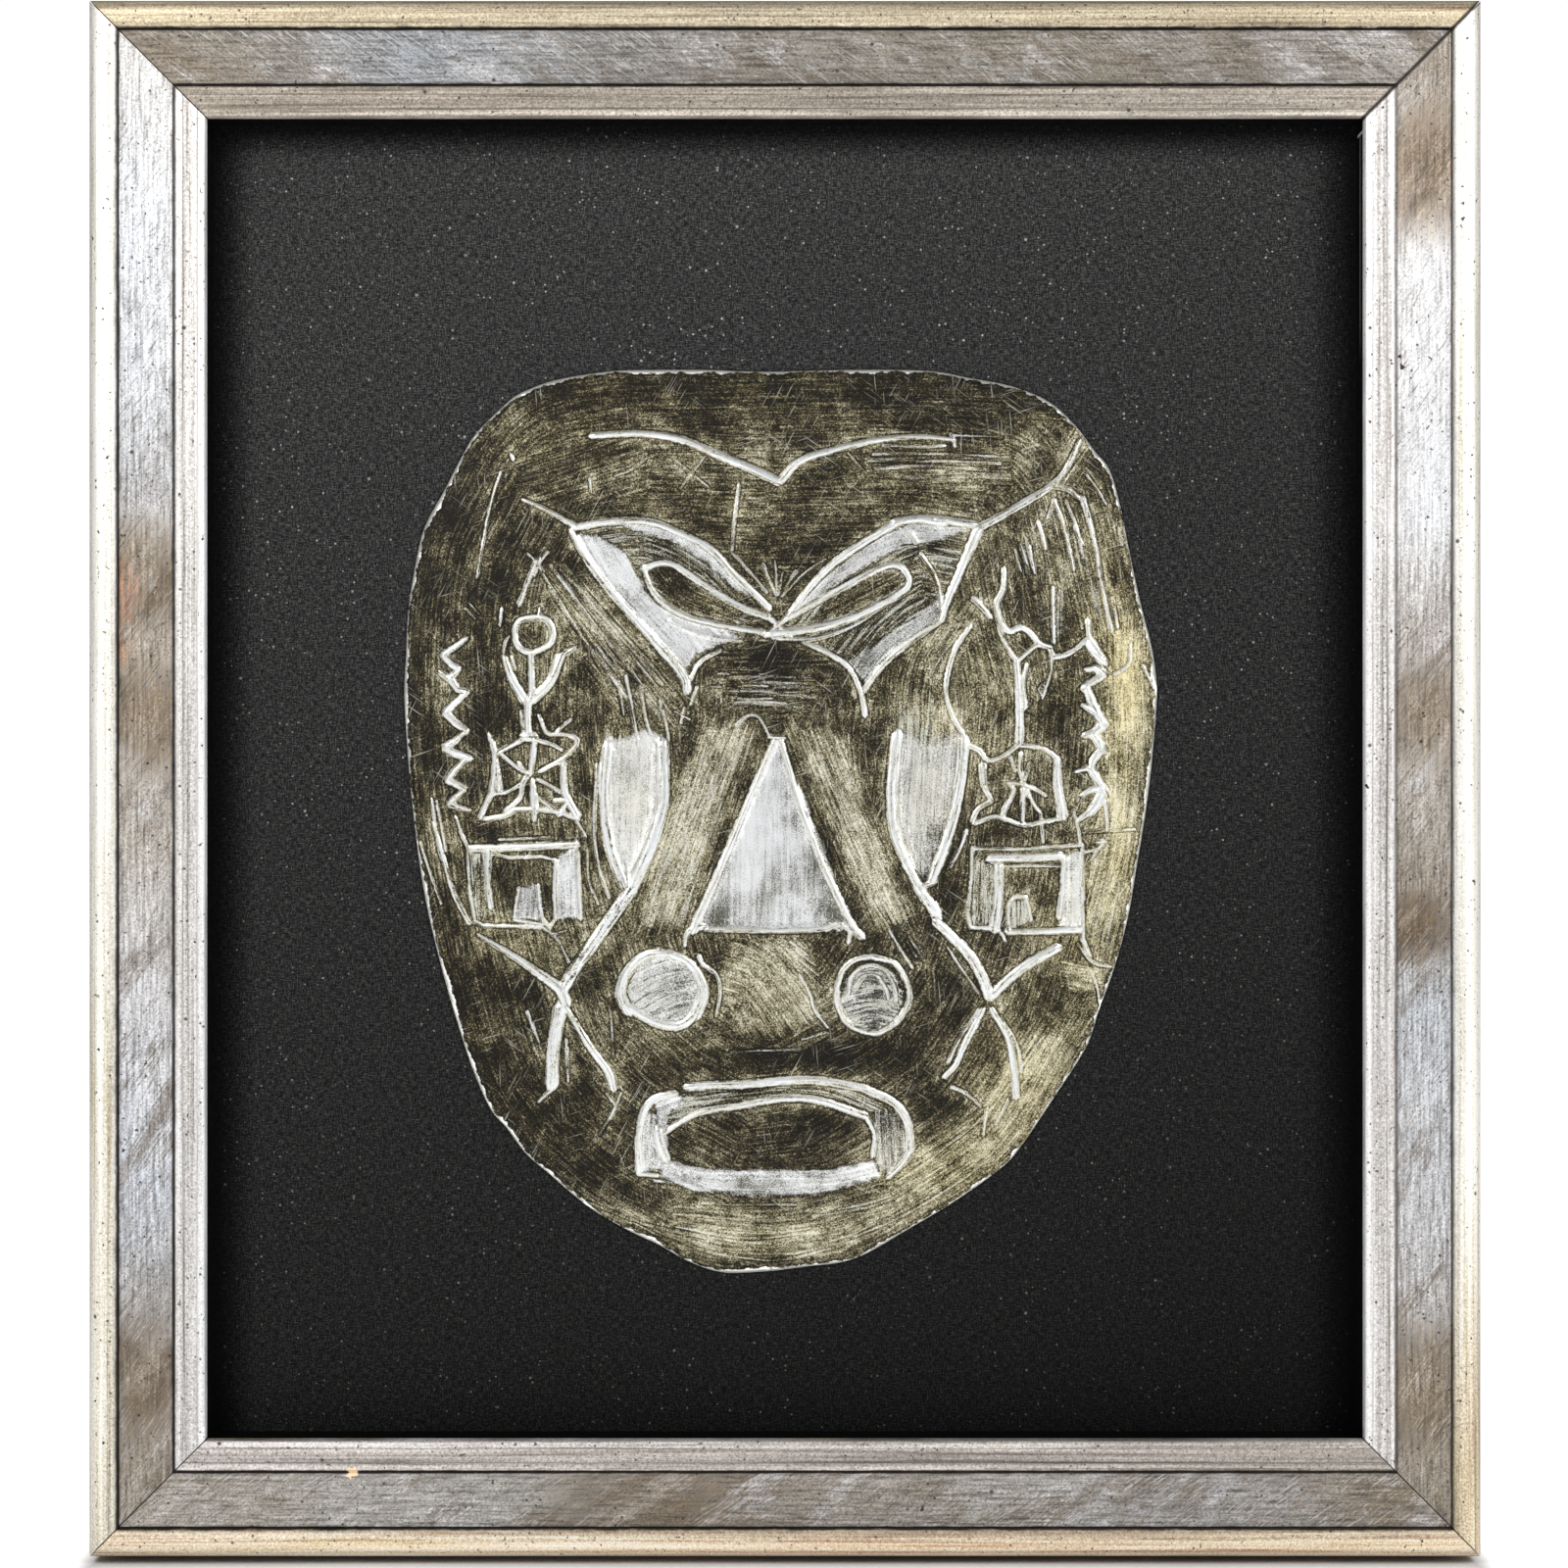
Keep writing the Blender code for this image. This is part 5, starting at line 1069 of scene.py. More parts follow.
# %% Patches that are filled in, hatched or brushed
# Shared by two patches each: the line that the strokes follow, here and there with the edge
LEFT_NOSTRIL = ([(-172, -178), (-148, -163), (-125, -154), (-100, -148), (-76, -145)],
                [(-123, -144), (-94, -157), (-83, -187), (-96, -218), (-124, -228), (-157, -215),
                 (-168, -185), (-153, -155)])
RIGHT_NOSTRIL = ([(55, -168), (78, -161), (102, -158), (126, -161), (150, -168)],
                 [(102, -155), (127, -166), (137, -196), (129, -222), (103, -233), (77, -224), (66, -198),
                  (75, -170)])
MOUTH_CORNER = ([(119, -317), (122, -389)],
                [(103, -321), (130, -319), (144, -360), (122, -393), (105, -378)])
LEFT_TEMPLE = ([(-263, 280), (-200, 202), (-133, 116)],
               [(-254, 276), (-211, 267), (-137, 183), (-111, 132), (-129, 94), (-172, 127), (-215, 187)])
LEFT_FLANK = [(-47, 96), (-85, -14), (-120, -117)]
RIGHT_FLANK = [(43, 83), (79, -3), (130, -117)]
RIGHT_CHEEK = [(166, 89), (161, 8), (161, -68)]
UNDER_EYE = [(195, 208), (166, 159), (161, 89)]
# Each patch: kind, how strong, soft edge in millimetres, the line that its strokes follow, its edge
PATCHES = [
    ("hatch", 0.50, 1.0, [(-227, 321), (-144, 328), (-74, 297), (-12, 235)],
     [(-227, 319), (-187, 326), (-144, 326), (-111, 314), (-74, 294), (-51, 269), (-18, 228), (-54, 200),
      (-103, 168), (-145, 208), (-184, 252), (-211, 287)]),
    ("fill", 0.85, 1.2, [(-227, 316), (-184, 250), (-120, 175), (-102, 140)],
     [(-226, 316), (-198, 313), (-168, 293), (-155, 267), (-137, 239), (-109, 222), (-65, 211), (-38, 202),
      (-90, 183), (-103, 166), (-145, 208), (-184, 252), (-211, 287)]),
    ("fill", 0.70, 0.8, [(-168, 326), (-114, 316), (-74, 297), (-49, 267)],
     [(-181, 327), (-144, 327), (-111, 315), (-74, 295), (-49, 267), (-29, 244), (-47, 250), (-79, 282),
      (-114, 304), (-157, 317)]),
    ("ground", 1.00, 0.6, [(-133, 267), (-103, 235), (-38, 213)],
     [(-142, 274), (-118, 277), (-90, 256), (-51, 233), (-25, 220), (-60, 220), (-96, 228), (-124, 248)]),
    ("hatch", 0.52, 1.0, [(10, 225), (65, 286), (141, 331), (215, 324)],
     [(10, 225), (38, 259), (106, 311), (141, 328), (215, 321), (195, 267), (179, 224), (145, 199),
      (103, 159), (79, 167), (29, 197), (-8, 202)]),
    ("fill", 0.70, 1.0, [(18, 233), (66, 280), (122, 317), (211, 324)],
     [(12, 226), (40, 259), (81, 291), (114, 313), (146, 327), (211, 321), (179, 308), (133, 300),
      (92, 276), (49, 250)]),
    ("fill", 0.60, 1.4, [(168, 213), (124, 187), (96, 153)],
     [(185, 252), (176, 220), (142, 198), (111, 172), (96, 148), (73, 174), (96, 187), (142, 220)]),
    ("ground", 1.00, 0.6, [(44, 220), (81, 241), (129, 267)],
     [(44, 228), (81, 252), (118, 272), (132, 267), (133, 256), (116, 248), (77, 231), (38, 220)]),
    ("fill", 0.95, 0.4, [(-3, 83), (-5, -122)],
     [(-5, 88), (2, 88), (83, -120), (-88, -120)]),
    ("hatch", 0.55, 7.0, LEFT_FLANK,
     [(-75, 104), (-24, 98), (-52, 24), (-80, -47), (-99, -111), (-152, -117), (-147, -57), (-120, 18)]),
    ("smear", 0.95, 8.0, LEFT_FLANK,
     [(-78, 104), (-28, 98), (-54, 24), (-82, -47), (-104, -111), (-152, -117), (-145, -57), (-118, 18)]),
    ("smear", 0.90, 7.0, RIGHT_FLANK,
     [(14, 104), (72, 90), (98, 8), (123, -57), (146, -111), (104, -114), (74, -57), (46, -3)]),
    ("hatch", 0.42, 8.0, RIGHT_FLANK,
     [(30, 90), (72, 80), (98, 8), (123, -57), (146, -111), (104, -114), (74, -57), (56, -3)]),
    ("fill", 0.62, 1.5, *LEFT_NOSTRIL),
    ("fill", 0.50, 1.5, *RIGHT_NOSTRIL),
    ("hatch", 0.85, 1.0, *LEFT_NOSTRIL),
    ("hatch", 0.78, 1.0, *RIGHT_NOSTRIL),
    ("smear", 0.62, 4.0, [(-62, -139), (-14, -160), (38, -231)],
     [(-54, -135), (27, -133), (40, -171), (34, -220), (-5, -233), (-51, -231), (-62, -187)]),
    ("fill", 0.76, 5.0, [(-157, 83), (-161, -3), (-166, -68)],
     [(-192, 96), (-172, 90), (-150, 102), (-127, 94), (-129, 14), (-142, -27), (-165, -73), (-183, -34),
      (-198, 18)]),
    ("hatch", 0.55, 6.0, RIGHT_CHEEK,
     [(129, 140), (165, 112), (200, 120), (198, 40), (187, -9), (167, -67), (146, -57), (127, -14),
      (124, 40)]),
    ("fill", 0.66, 9.0, RIGHT_CHEEK,
     [(129, 110), (160, 88), (205, 104), (198, 40), (187, -9), (167, -67), (146, -57), (127, -14),
      (124, 40)]),
    ("smear", 0.60, 9.0, UNDER_EYE,
     [(206, 233), (182, 189), (182, 137), (200, 90), (131, 90), (120, 148), (156, 207)]),
    ("hatch", 0.42, 9.0, UNDER_EYE,
     [(206, 213), (187, 179), (182, 137), (200, 90), (131, 90), (137, 148), (166, 197)]),
    ("hatch", 0.75, 0.5, [(-330, -31), (-328, -114)],
     [(-342, -34), (-319, -34), (-319, -101), (-333, -113)]),
    ("fill", 0.90, 0.4, [(-233, -27), (-231, -111)],
     [(-246, -42), (-222, -27), (-218, -108), (-245, -109)]),
    ("fill", 0.60, 0.5, [(-275, -70), (-276, -111)],
     [(-286, -73), (-265, -70), (-260, -110), (-291, -109)]),
    ("hatch", 0.80, 0.5, [(224, -44), (222, -116)],
     [(214, -42), (235, -47), (235, -114), (211, -116)]),
    ("fill", 0.80, 0.4, [(324, -31), (321, -124)],
     [(314, -40), (333, -31), (333, -124), (308, -116)]),
    ("hatch", 0.95, 0.5, [(264, -85), (264, -120)],
     [(254, -90), (272, -88), (276, -111), (254, -120)]),
    ("fill", 0.76, 1.2, [(-131, -382), (-91, -396), (-26, -399), (54, -398), (104, -386)],
     [(-131, -371), (-91, -382), (-26, -384), (54, -384), (103, -373), (114, -393), (45, -411), (-25, -413),
      (-95, -408), (-131, -392)]),
    ("hatch", 0.62, 1.0, [(-133, -315), (-44, -302), (45, -297), (124, -328)],
     [(-137, -317), (-103, -298), (5, -289), (92, -298), (131, -328), (96, -321), (45, -306), (-44, -311),
      (-124, -339)]),
    ("hatch", 0.60, 1.5, *MOUTH_CORNER),
    ("fill", 0.48, 1.5, *MOUTH_CORNER),
    ("fill", 0.90, 0.5, [(-133, -311), (-109, -304)],
     [(-140, -308), (-111, -295), (-105, -311), (-129, -326)]),
    ("fill", 0.72, 0.6, [(-142, -317), (-144, -389)],
     [(-153, -321), (-124, -324), (-120, -382), (-157, -389)]),
    ("smear", 0.42, 10.0, [(338, -250), (265, -361), (193, -420), (83, -483)],
     [(254, -263), (326, -198), (343, -226), (287, -324), (222, -395), (146, -443), (92, -460), (114, -410),
      (179, -356)]),
    ("smear", 0.30, 6.0, [(-211, -425), (-102, -479), (-16, -492), (83, -479), (193, -417)],
     [(-189, -432), (-103, -417), (5, -425), (114, -404), (146, -432), (81, -471), (-16, -488),
      (-103, -473)]),
    ("hatch", 0.16, 6.0, [(-103, 469), (114, 471), (330, 464)],
     [(-114, 482), (114, 486), (287, 469), (317, 443), (114, 447), (-103, 440)]),
    ("smear", 0.35, 9.0, *LEFT_TEMPLE),
    ("hatch", 0.42, 8.0, *LEFT_TEMPLE),
    ("smear", 0.60, 5.0, [(294, 364), (331, 418)],
     [(286, 360), (300, 350), (350, 412), (322, 430)]),
    ("hatch", 0.42, 7.0, [(300, 365), (315, 300), (337, 202)],
     [(265, 332), (306, 359), (352, 300), (373, 213), (341, 213), (300, 267), (265, 278)]),
    ("hatch", 0.35, 4.0, [(363, 148), (373, 18), (354, -133)],
     [(360, 148), (408, 148), (402, 18), (384, -101), (354, -166), (337, -101), (343, -25), (360, 40)]),
    ("smear", 0.40, 7.0, [(395, 213), (395, 18), (363, -133)],
     [(369, 213), (404, 213), (412, 127), (402, 18), (382, -101), (347, -133), (343, -47), (365, 40)]),
    ("fill", 0.40, 1.2, [(308, 267), (308, 192)],
     [(301, 259), (316, 252), (314, 205), (301, 195)]),
    ("smear", 0.70, 2.0, [(308, -166), (358, -176)],
     [(311, -155), (352, -161), (356, -187), (319, -189)]),
    ("hatch", 0.18, 5.0, [(-271, 365), (-168, 397)],
     [(-287, 397), (-157, 419), (-146, 365), (-276, 347)]),
    ("hatch", 0.34, 4.0, [(96, 391), (248, 389)],
     [(96, 406), (248, 406), (252, 365), (179, 365), (98, 380)]),
    ("hatch", 0.45, 2.0, [(-57, 148), (38, 146)],
     [(-57, 159), (34, 159), (42, 122), (-54, 120)]),
    ("hatch", 0.35, 4.0, [(-103, -430), (5, -436), (114, -410)],
     [(-114, -419), (5, -423), (114, -399), (124, -427), (5, -460), (-103, -453)]),
]

# %% Tone of the ground
# Each cloud: middle, reach in millimetres across and up, how much lighter, how much yellower
# Some clouds paint the relief's light and shade: the narrow dark ones along the sides of the nose and at
# its base are painted shade, and the light ones just below the brows are painted light.
CLOUDS_AND_PAINTED_SHADE = [
    ((114, 475), (62.0, 5.0), -0.14, 0.2),
    ((-157, 373), (30.0, 9.0), 0.06, 0.0),
    ((168, 370), (28.0, 8.0), 0.12, 0.1),
    ((-254, 397), (16.0, 14.0), 0.06, 0.2),
    ((-114, 343), (26.0, 4.0), 0.08, 0.2),
    ((-5, 267), (8.0, 6.0), 0.16, 0.1),
    ((384, 148), (7.0, 22.0), 0.44, 0.9),
    ((373, -25), (8.0, 34.0), 0.34, 0.7),
    ((354, 235), (10.0, 24.0), 0.12, 0.5),
    ((319, -111), (10.0, 24.0), 0.12, 0.6),
    ((265, -295), (18.0, 20.0), 0.22, 0.6),
    ((179, -382), (20.0, 12.0), 0.16, 0.5),
    ((-352, -187), (12.0, 34.0), -0.1, 0.2),
    ((-265, -339), (20.0, 18.0), -0.06, 0.1),
    ((-326, 148), (5.0, 22.0), -0.1, -0.2),
    ((-400, 148), (4.0, 46.0), -0.14, -0.1),
    ((-16, -259), (30.0, 4.0), -0.2, 0.0),
    ((141, -231), (14.0, 14.0), -0.14, -0.1),
    ((-5, 179), (20.0, 9.0), -0.28, -0.1),
    ((-103, 124), (5.0, 6.0), -0.16, 0.0),
    ((-63, -36), (3.0, 26.0), -0.26, -0.2),
    ((-96, -84), (3.0, 10.0), -0.1, -0.2),
    ((58, -25), (3.4, 20.0), -0.26, 0.0),
    ((-12, -344), (26.0, 6.0), -0.04, 0.0),
    ((-211, -371), (20.0, 8.0), -0.08, 0.0),
    ((254, -19), (20.0, 3.0), -0.14, -0.2),
    ((-271, -15), (20.0, 3.0), -0.12, 0.0),
    ((-27, -14), (7.0, 14.0), 0.2, 0.0),
    ((-73, -107), (5.0, 4.0), -0.42, 0.1),
    ((60, -101), (7.0, 6.0), -0.4, 0.1),
    ((43, -34), (4.0, 12.0), -0.26, 0.0),
    ((5, 40), (3.0, 10.0), -0.1, 0.0),
    ((-162, 24), (10.0, 20.0), 0.10, 0.7),
    ((162, 24), (9.0, 20.0), -0.02, 0.8),
    ((-200, -241), (14.0, 16.0), 0.1, 0.1),
    ((-298, -133), (12.0, 8.0), 0.1, 0.2),
    ((-168, -176), (12.0, 10.0), 0.06, 0.1),
    ((-14, -183), (12.0, 10.0), 0.1, 0.1),
    ((222, 148), (12.0, 26.0), 0.14, 0.1),
    ((240, 70), (16.0, 24.0), 0.12, 0.1),
    ((-254, 213), (16.0, 22.0), -0.04, 0.0),
    ((-16, -447), (40.0, 8.0), 0.16, 0.2),
    ((179, -198), (12.0, 14.0), -0.04, 0.0),
    ((276, 300), (10.0, 12.0), 0.06, 0.1),
    ((222, 451), (24.0, 6.0), -0.06, 0.2),
    ((-125, -187), (9.0, 9.0), -0.22, 0.0),
    ((102, -196), (9.0, 9.0), -0.28, 0.0),
    ((106, -174), (7.0, 2.6), -0.40, 0.0),
    ((-14, -398), (44.0, 4.0), -0.16, 0.0),
    ((122, -350), (5.0, 10.0), -0.16, 0.6),
    ((-16, -345), (30.0, 7.0), -0.10, 0.0),
    ((-170, 330), (30.0, 5.0), -0.10, 0.0),
    ((60, 300), (20.0, 6.0), -0.08, 0.0),
    ((-240, -290), (18.0, 20.0), -0.10, 0.0),
    ((40, -260), (30.0, 5.0), -0.16, 0.0),
    ((190, -60), (4.0, 14.0), -0.22, 0.0),
    ((-340, 300), (12.0, 26.0), -0.16, 0.0),
    ((-14, -183), (14.0, 12.0), 0.08, 0.0),
    ((60, 470), (90.0, 6.0), -0.08, 0.1),
    ((180, -120), (5.0, 8.0), -0.24, 0.0),
    ((-330, 90), (4.0, 30.0), -0.12, 0.0),
]
print("strokes:", sum(map(len, (BROW_AND_EYE_STROKES, NOSE_AND_MOUTH_STROKES, CHEEK_STROKES,
                                FIGURE_STROKES, ZIGZAG_STROKES, HOUSE_STROKES, EDGE_STROKES))))

# %% [markdown]
# ## Lines and distances
# Two questions come up again and again: how far is a spot on the sheet from a line, and where
# along that line is it? The answers give the relief, the bright lines and the direction of the
# brush marks. They are worked out for all spots at once with arrays, which is quick enough for
# tens of thousands of them.
# %% Lines through points
LINE_STEP = 1.3 * MM


def on_sheet(points):
    """Places of the drawing as an array in metres."""
    return np.array(points, float) * UNIT


def smooth_line(points, step=LINE_STEP):
    """A smooth line through the points (Catmull-Rom); it closes if it ends where it starts."""
    closed = bool(np.allclose(points[0], points[-1]))
    line = []
    for i in range(len(points) - 1):
        a, b = points[i], points[i + 1]
        before = points[i - 1] if i else (points[-2] if closed else 2 * a - b)
        after = points[i + 2] if i + 2 < len(points) else (points[1] if closed else 2 * b - a)
        for t in np.arange(0, 1, 1 / max(1, round(np.linalg.norm(b - a) / step))):
            line.append(0.5 * (2 * a + (b - before) * t + (2 * before - 5 * a + 4 * b - after) * t ** 2
                               + (3 * a - before - 3 * b + after) * t ** 3))
    return np.array(line + [points[-1]])


def straight_line(points, step=LINE_STEP):
    """The points joined by straight lines, cut into short lengths."""
    line = []
    for a, b in zip(points, points[1:]):
        pieces = max(1, round(np.linalg.norm(b - a) / step))
        line += [a + (b - a) * k / pieces for k in range(pieces)]
    return np.array(line + [points[-1]])


def along_line(line, spots):
    """For each spot: distance to the line, distance along it and signed distance across it."""
    start, run = line[:-1], np.diff(line, axis=0)
    length = np.maximum(np.hypot(run[:, 0], run[:, 1]), 1e-9)
    way = run / length[:, None]
    offset = spots[:, None, :] - start[None]
    forward = (offset * way).sum(2)
    held = np.clip(forward, 0.0, length)
    distance = np.hypot(*(offset - held[..., None] * way).transpose(2, 0, 1))
    nearest = distance.argmin(1)
    rows = np.arange(len(spots))
    forward, offset = forward[rows, nearest], offset[rows, nearest]
    free = np.where(nearest == 0, np.minimum(forward, length[nearest]), held[rows, nearest])
    free = np.where(nearest == len(length) - 1, np.maximum(forward, 0.0) if len(length) > 1 else forward,
                    free)
    passed = np.concatenate([[0.0], np.cumsum(length)])[nearest]
    across = way[nearest, 0] * offset[:, 1] - way[nearest, 1] * offset[:, 0]
    return distance[rows, nearest], passed + free, across


def depth_inside(loop, spots):
    """Distance in from the edge of a closed loop; negative outside it."""
    closed = np.vstack([loop, loop[:1]])
    a, b = closed[:-1], closed[1:]
    x, z = spots[:, 0:1], spots[:, 1:2]
    crossing = (a[:, 1] > z) != (b[:, 1] > z)
    reach = a[:, 0] + (b[:, 0] - a[:, 0]) * (z - a[:, 1]) / np.where(a[:, 1] == b[:, 1], 1e-12,
                                                                     b[:, 1] - a[:, 1])
    within = (crossing & (x < reach)).sum(1) % 2 == 1
    distance = along_line(closed, spots)[0]
    return np.where(within, distance, -distance)


def smooth_step(value):
    """0 below 0, 1 above 1 and an even S between."""
    value = np.clip(value, 0.0, 1.0)
    return value * value * (3 - 2 * value)


# %% Turn the drawing into strokes
class Stroke:
    """One pressed line: its course, its bright half width along it and how bright it is."""

    def __init__(self, entry, draw):
        start_width, end_width, self.strength, points = entry
        self.line = draw(on_sheet(points))
        self.length = np.hypot(*np.diff(self.line, axis=0).T).sum()
        self.widths = (start_width * MM / 2, end_width * MM / 2)
        self.weight = min(1.0, max(start_width, end_width) / 2.4)

    def half_width(self, along):
        share = np.clip(along / self.length, 0.0, 1.0)
        return self.widths[0] + (self.widths[1] - self.widths[0]) * share


curved = BROW_AND_EYE_STROKES + NOSE_AND_MOUTH_STROKES + CHEEK_STROKES + FIGURE_STROKES + EDGE_STROKES
strokes = [Stroke(entry, smooth_line) for entry in curved]
strokes += [Stroke(entry, straight_line) for entry in ZIGZAG_STROKES + HOUSE_STROKES]
print("drawn length:", round(sum(s.length for s in strokes), 2), "m in", len(strokes), "strokes")

# %% [markdown]
# ## The sheet's faces
# The faces have to follow the strokes, or their edges would look jagged. A subdivided grid would
# need millions of faces for that. Instead, points are laid along every stroke, on its crest and on
# both its feet, and over the ground between them, and a Delaunay triangulation joins them all
# while keeping the stroke lines as edges. The ground's points start from a plain grid.
# %% Lay out points and edges
FOOT, BROAD_HALF, SHOULDER_SHARE = 0.55 * MM, 0.55 * MM, 0.62
GROUND_STEP, GROUND_SHIFT = 1.35 * MM, 0.12 * MM
GROUND_SIZE, RIM_CLEAR, LINE_CLEAR = 0.30, 1.0 * MM, 0.6 * MM
MERGE = 0.06 * MM
rng = np.random.default_rng(28)

rim = smooth_line(on_sheet(OUTLINE + OUTLINE[:1]), 2.0 * MM)[:-1]
rim_distance = lambda spots: depth_inside(rim, spots)


def side_lines(line, reach):
    """The two lines beside a line, at a reach that may vary along it."""
    way = np.gradient(line, axis=0)
    if np.allclose(line[0], line[-1]):
        way[0] = way[-1] = line[1] - line[-2]
    way /= np.maximum(np.hypot(way[:, 0], way[:, 1]), 1e-9)[:, None]
    side = np.stack([-way[:, 1], way[:, 0]], 1) * reach[:, None]
    return line + side, line - side


def guide_lines(stroke):
    """Crest, shoulders and feet of a stroke, each as (points, closed)."""
    line = stroke.line
    passed = np.concatenate([[0.0], np.cumsum(np.hypot(*np.diff(line, axis=0).T))])
    half = stroke.half_width(passed)
    lines = [(line, False)]
    if max(stroke.widths) > BROAD_HALF:
        lines += [(side, False) for side in side_lines(line, half * SHOULDER_SHARE)]
    left, right = side_lines(line, half + FOOT)
    if np.allclose(line[0], line[-1]):
        return lines + [(left, False), (right, False)]
    start = line[0] - (line[1] - line[0]) / np.linalg.norm(line[1] - line[0]) * (half[0] + FOOT)
    end = line[-1] + (line[-1] - line[-2]) / np.linalg.norm(line[-1] - line[-2]) * (half[-1] + FOOT)
    return lines + [(np.vstack([[start], left, [end], right[::-1]]), True)]


plan_lines = [(rim, True)]
for stroke in strokes:
    plan_lines += guide_lines(stroke)
laid = np.vstack([line for line, closed in plan_lines])

bm = bmesh.new()
grid_count = round(GROUND_SIZE / GROUND_STEP)
bmesh.ops.create_grid(bm, x_segments=grid_count, y_segments=grid_count, size=GROUND_SIZE / 2)
ground = np.array([(v.co.x, v.co.y) for v in bm.verts])
bm.free()
ground[:, 0] += np.round(ground[:, 1] / GROUND_STEP) % 2 * GROUND_STEP / 2
ground += rng.normal(0.0, GROUND_SHIFT, ground.shape)
ground = ground[rim_distance(ground) > RIM_CLEAR]
print("points laid on lines:", len(laid), "and on the ground:", len(ground))

# %% Join the points into faces
from mathutils.kdtree import KDTree

tree = KDTree(len(laid))
for i, (x, z) in enumerate(laid):
    tree.insert((x, z, 0.0), i)
tree.balance()
clear = np.array([tree.find((x, z, 0.0))[2] > LINE_CLEAR for x, z in ground])

plan_points, plan_edges = [], []
for line, closed in plan_lines:
    first = len(plan_points)
    plan_points += [Vector(p) for p in line]
    plan_edges += [(first + i, first + i + 1) for i in range(len(line) - 1)]
    if closed:
        plan_edges.append((first + len(line) - 1, first))
inside_rim = depth_inside(rim, np.array([tuple(p) for p in plan_points]))
print("line points outside the rim:", int((inside_rim < -0.05 * MM).sum()))
plan_points += [Vector(p) for p in ground[clear]]
flat_verts, _, flat_faces = delaunay_2d_cdt(plan_points, plan_edges, [], 1, MERGE)[:3]
flat = np.array([tuple(v) for v in flat_verts])
flat_depth = rim_distance(flat)
at_rim = [face for face in flat_faces if flat_depth[list(face)].min() < 0.01 * MM]
middle_depth = rim_distance(np.array([flat[list(face)].mean(0) for face in at_rim]))
outside = {tuple(face) for face, depth in zip(at_rim, middle_depth) if depth < 0}
flat_faces = [face for face in flat_faces if tuple(face) not in outside]
used = sorted({corner for face in flat_faces for corner in face})
new_place = {old: new for new, old in enumerate(used)}
flat_faces = [[new_place[corner] for corner in face] for face in flat_faces]
flat = flat[used]
print("faces outside the rim that were left out:", len(outside))
print("sheet:", len(flat), "corners and", len(flat_faces), "faces")

# %% [markdown]
# ## Relief
# Each spot of the sheet gets its height from three things: a low dome over the whole mask with the
# nose standing on it, the raised strokes, and the small dents of a sheet worked by hand.
# %% Heights and surface readings for spots on the sheet
DOME_RISE, DOME_POWER, NOSE_RISE, NOSE_FLANK = 4.6 * MM, 2.6, 1.2 * MM, 17.5 * MM
READ_REACH, RIM_HOLD = 6 * MM, 2.5 * MM
SHEET_THICKNESS = 0.6 * MM
STROKE_RISE = 0.85 * MM
BRIGHT_SHARE = 0.96
NOSE_FORM = [(-90, 159), (-12, 200), (79, 159), (141, -176), (103, -233), (-124, -233), (-168, -176)]
rim_angles = np.arctan2(rim[:, 1], rim[:, 0])
rim_reach = np.hypot(rim[:, 0], rim[:, 1])
turn_order = np.argsort(rim_angles)
nose_loop = smooth_line(on_sheet(NOSE_FORM + NOSE_FORM[:1]), 6 * MM)[:-1]


def sheet_form(spots):
    """The broad form: dome and nose."""
    angle = np.arctan2(spots[:, 1], spots[:, 0])
    reach = np.interp(angle, rim_angles[turn_order], rim_reach[turn_order], period=math.tau)
    outward = np.clip(np.hypot(spots[:, 0], spots[:, 1]) / reach, 0.0, 1.0)
    nose = smooth_step(0.5 + depth_inside(nose_loop, spots) / NOSE_FLANK)
    return DOME_RISE * (1 - outward ** DOME_POWER) + NOSE_RISE * nose


def read_strokes(spots):
    """Distance past the nearest bright edge, that stroke's brightness and number, and the relief."""
    edge = np.full(len(spots), READ_REACH)
    bright = np.ones(len(spots))
    owner = np.full(len(spots), -1)
    rise = np.zeros(len(spots))
    for number, stroke in enumerate(strokes):
        low, high = stroke.line.min(0) - READ_REACH, stroke.line.max(0) + READ_REACH
        close = np.flatnonzero(((spots > low) & (spots < high)).all(1))
        if not len(close):
            continue
        distance, along, _ = along_line(stroke.line, spots[close])
        half = stroke.half_width(along)
        past = distance - half * BRIGHT_SHARE
        share = np.clip((FOOT - past) / (FOOT + half), 0.0, 1.0)
        lift = STROKE_RISE * stroke.weight ** 0.7 * np.sin(share * math.pi / 2) ** 1.4
        rise[close] = np.maximum(rise[close], lift)
        closer = past < edge[close]
        chosen = close[closer]
        edge[chosen], owner[chosen], bright[chosen] = past[closer], number, stroke.strength
    return edge, bright, owner, rise


def dents(spots):
    """Small dents left by hand work."""
    return np.array([0.10 * MM * noise.noise(Vector((x * 95, z * 95, 3.0)))
                     + 0.05 * MM * noise.noise(Vector((x * 260, z * 260, 9.0))) for x, z in spots])


MASK_X, MASK_BACK, MASK_Z = -1.8 * MM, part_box("mask")[1].y, -237.2 * MM
edge, bright, owner, rise = read_strokes(flat)
rim_depth = np.maximum(rim_distance(flat), 0.0)
rim_hold = smooth_step(rim_depth / RIM_HOLD)
height = SHEET_THICKNESS + sheet_form(flat) + (rise + dents(flat)) * rim_hold
print("relief from", round(height.min() * 1000, 2), "to", round(height.max() * 1000, 2), "mm")

# %% Build the sheet: front, cut rim and plain back
bm = bmesh.new()
verts = [bm.verts.new((x, -h, z)) for (x, z), h in zip(flat, height)]
for face in flat_faces:
    bm.faces.new([verts[i] for i in face]).smooth = True
bmesh.ops.recalc_face_normals(bm, faces=bm.faces)
if sum(f.normal.y for f in list(bm.faces)[:200]) > 0:
    bmesh.ops.reverse_faces(bm, faces=bm.faces)


